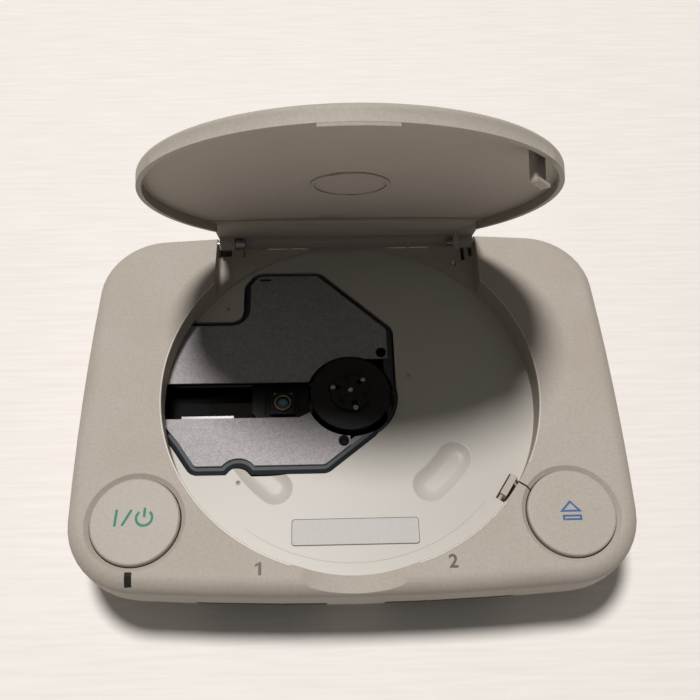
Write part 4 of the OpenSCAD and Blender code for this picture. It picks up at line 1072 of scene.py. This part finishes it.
@dataclass
class FloorMarks:
    """Moulding marks on the well's floor: ejector pips and the faint ridge near its rim."""

    pips: tuple[Point, ...] = ((-40.1, -30.6), (-46.9, 41.3), (21.9, 10.7))
    pip_r: float = 0.95
    pip_h: float = 0.14
    # A pip's ring and the slope inside it as shares of its radius, and its sunk middle of its height
    pip_ring: float = 0.22
    pip_slope: float = 0.2
    pip_sunk: float = 0.8
    ridge_r: float = 61.5
    ridge_w: float = 0.3
    ridge_h: float = 0.03
    ridge_ends_deg: Point = (-128.0, -42.0)
    floor: float = 23.5

    def build(self) -> None:
        """Models the first pip, copies it, and sweeps the ridge round the disc's axis."""
        first = self.pip()
        copies = [first] + [copy_of(first) for _ in self.pips[1:]]
        for number, (piece, (x, y)) in enumerate(zip(copies, self.pips), 1):
            piece.location = (x * MM, y * MM, self.floor * MM)
            finish_piece(piece, f"floor_pip_{number}", Body.CONSOLE, SHELL_ABS)
        axis = Vector((0, AXIS_Y, self.floor))
        ridge = swept_strip(axis, self.ridge_r, self.ridge_w, self.ridge_ends_deg, self.ridge_h)
        finish_piece(ridge, "floor_ridge", Body.CONSOLE, SHELL_ABS)

    def pip(self) -> Piece:
        """Returns a pip at the origin: a low ring round a sunk middle."""
        piece = fresh(
            bpy.ops.mesh.primitive_circle_add, vertices=32, radius=self.pip_r * MM, fill_type="NGON"
        )
        edit_all()
        raise_sheet(self.pip_h)
        select(piece, Pick.FACES, looks_up)
        bpy.ops.mesh.inset(thickness=self.pip_ring * self.pip_r * MM)
        sunk = self.pip_sunk * self.pip_h * MM
        bpy.ops.mesh.inset(thickness=self.pip_slope * self.pip_r * MM, depth=-sunk)
        bpy.ops.object.mode_set(mode="OBJECT")
        return piece


@dataclass
class RimBead:
    """The fine bead along the well's rim, broken at the chin, the latch and the hinge, and painted pale as
    a highlight.
    """

    radius: float = 67.95
    width: float = 0.42
    rise: float = 0.1
    arcs: tuple[Point, ...] = ((138.0, 252.5), (287.5, 319.5), (332.5, 402.0))

    def build(self) -> None:
        """Models the bead's stretches."""
        # The bead's pale finish is a painted highlight.
        axis = Vector((0, AXIS_Y, SHELL_TOP))
        for number, ends in enumerate(self.arcs, 1):
            piece = swept_strip(axis, self.radius, self.width, ends, self.rise)
            finish_piece(piece, f"rim_bead_{number}", Body.CONSOLE, RIM_HIGHLIGHT_ABS)


@dataclass
class LidTrim:
    """The finger lip at the front of the lid, a low strip on the end of its rim."""

    # The hinge's axis, as its Y and Z
    hinge: Point = (67.2, 30.8)
    open_deg: float = 65.5
    rim_end: float = 31.2
    radius: float = 66.32
    width: float = 1.5
    reach: float = 1.0
    root: float = 0.35
    ends_deg: Point = (-99.0, -80.2)

    def build(self) -> None:
        """Models the lip on the closed lid and swings it open."""
        foot = Vector((0, AXIS_Y, self.rim_end - self.reach))
        piece = swept_strip(foot, self.radius, self.width, self.ends_deg, self.reach + self.root)
        bpy.ops.object.mode_set(mode="OBJECT")
        axis = Vector((0, *self.hinge)) * MM
        swing = Matrix.Translation(axis) @ Matrix.Rotation(-math.radians(self.open_deg), 4, "X")
        piece.matrix_world = swing @ Matrix.Translation(foot * MM - axis)
        finish_piece(piece, "lid_finger_lip", Body.LID, LID_ABS)


@dataclass
class Studio:
    """Table, light and camera; lengths in metres, the lens and its sensor in millimetres."""

    table_size: float = 8.0
    table_drop: float = 0.00002
    lens_mm: float = 42.37
    sensor_mm: float = 36.0
    clip_start: float = 0.01
    elevation_deg: float = 60.33
    yaw_deg: float = -2.95
    roll_deg: float = 1.67
    distance: float = 0.3032
    target: Triple = (0.00011, 0.0163, 0.0335)
    key_at: Triple = (-0.28, 0.72, 2.9)
    key_aim: Triple = (0.0, 0.0, 0.03)
    key_size: float = 0.6
    key_watts: float = 80.0
    key_colour: str = "#fffcfa"
    room_colour: str = "#fcfaf6"
    room_strength: float = 0.12
    wall_colour: str = "#f3efea"

    def build(self) -> None:
        """Sets up the table, the light and the camera."""
        scene = bpy.context.scene
        scene.view_settings.view_transform = "Standard"
        self.table()
        self.light(scene)
        self.camera(scene)

    def table(self) -> None:
        """Lays a pale table under the part."""
        under = (0, 0, CAD_BOX[0].z - self.table_drop)
        table = fresh(bpy.ops.mesh.primitive_plane_add, size=self.table_size, location=under)
        table.name = "table"
        table.data.materials.append(TABLE_TOP.material())

    def light(self, scene: bpy.types.Scene) -> None:
        """Adds the soft lamp behind and above the part, and the light of the room."""
        lamp = fresh(bpy.ops.object.light_add, type="AREA", location=self.key_at)
        lamp.name = "ceiling_lamp"
        lamp.data.shape = "DISK"
        lamp.data.size = self.key_size
        lamp.data.energy = self.key_watts
        lamp.data.color = linear(self.key_colour)[:3]
        aim = Vector(self.key_aim) - Vector(self.key_at)
        lamp.rotation_euler = aim.to_track_quat("-Z", "Y").to_euler()
        world = bpy.data.worlds.new("room")
        world.use_nodes = True
        scene.world = world
        tree = world.node_tree
        tree.nodes.clear()
        dim = {"Color": linear(self.room_colour), "Strength": self.room_strength}
        room = add_node(tree, "Background", values=dim)
        # The camera sees a pale wall behind the table; the light of the room stays dim
        pale = {"Color": linear(self.wall_colour), "Strength": 1.0}
        wall = add_node(tree, "Background", values=pale)
        ray = add_node(tree, "LightPath").outputs["Is Camera Ray"]
        seen = add_node(tree, "MixShader", {0: ray, 1: room, 2: wall})
        add_node(tree, "OutputWorld", {"Surface": seen})

    def camera(self, scene: bpy.types.Scene) -> None:
        """Places the camera at the photograph's viewing angle."""
        el, yaw, roll = (math.radians(a) for a in (self.elevation_deg, self.yaw_deg, self.roll_deg))
        view = Vector((math.sin(yaw) * math.cos(el), -math.cos(yaw) * math.cos(el), math.sin(el)))
        right = Vector((math.cos(yaw), math.sin(yaw), 0))
        up = view.cross(right)
        side = math.cos(roll) * right + math.sin(roll) * up
        head = math.cos(roll) * up - math.sin(roll) * right
        camera = fresh(bpy.ops.object.camera_add)
        place = Matrix((side, head, view)).transposed().to_4x4()
        place.translation = Vector(self.target) + view * self.distance
        camera.matrix_world = place
        camera.data.sensor_width = self.sensor_mm
        camera.data.lens = self.lens_mm
        camera.data.clip_start = self.clip_start
        scene.camera = camera


SOLIDS: tuple[DressedSolid, ...] = (
    DressedSolid("upper_case", "case", SHELL_ABS, 0.25),
    DressedSolid("lower_case", "case", SHELL_ABS, 0.25),
    DressedSolid("lid", "case", LID_ABS, 0.25, weighing=Weighing.ANGLE),
    DressedSolid("power_button", "case", BUTTON_ABS, 0.0),
    DressedSolid("open_button", "case", BUTTON_ABS, 0.0),
    DressedSolid("latch_slider", "case", LID_ABS, 0.2),
    DressedSolid("drive_chassis", "black_plastic", FRAME_ABS, 0.12),
    DressedSolid("drive_cover", "cover", COVER_PAINT, 0.08),
    DressedSolid("turntable", "black_plastic", BLACK_NYLON, 0.1),
    DressedSolid("pickup_sled", "black_plastic", BLACK_NYLON, 0.2),
    DressedSolid("lens_holder", "black_plastic", BLACK_NYLON, 0.12),
    *(DressedSolid(f"port_block_{number}", "dark_plastic", DARK_ABS, 0.2) for number in (1, 2)),
    # The card doors are dark grey; the dark is partly painted shade in the slots.
    *(DressedSolid(f"card_door_{number}", "dark_plastic", DARK_ABS, 0.15) for number in (1, 2)),
    DressedSolid("av_socket", "black_plastic", BLACK_NYLON, 0.15),
    DressedSolid("dc_jack", "black_plastic", BLACK_NYLON, 0.15),
)


def dress_nodes(finishes: dict[Finish, tuple[str, ...]]) -> None:
    """Gives the CAD nodes that stay in view their finishes.

    Args:
        finishes: The nodes' names for each finish.
    """
    for finish, names in finishes.items():
        for name in names:
            data = frame["nodes"][name].data
            data.materials.clear()
            data.materials.append(finish.material())
            LOG.info("%s: CAD node, %s", name, finish.name)


def main() -> None:
    """Builds and dresses every piece, and sets up the picture."""
    logging.basicConfig(level=logging.INFO, format="%(name)s %(message)s")
    dress_nodes(NODE_FINISHES)
    for solid in SOLIDS:
        solid.build()
    marks = (PowerMark(), OpenMark(), PortNumbers(), LabelPlate(), FloorMarks(), RimBead(), LidTrim())
    drive = (LensTrim(), SlotLip(), HubTip())
    for part in marks + drive:
        part.build()
    Studio().build()


if __name__ == "__main__":
    main()
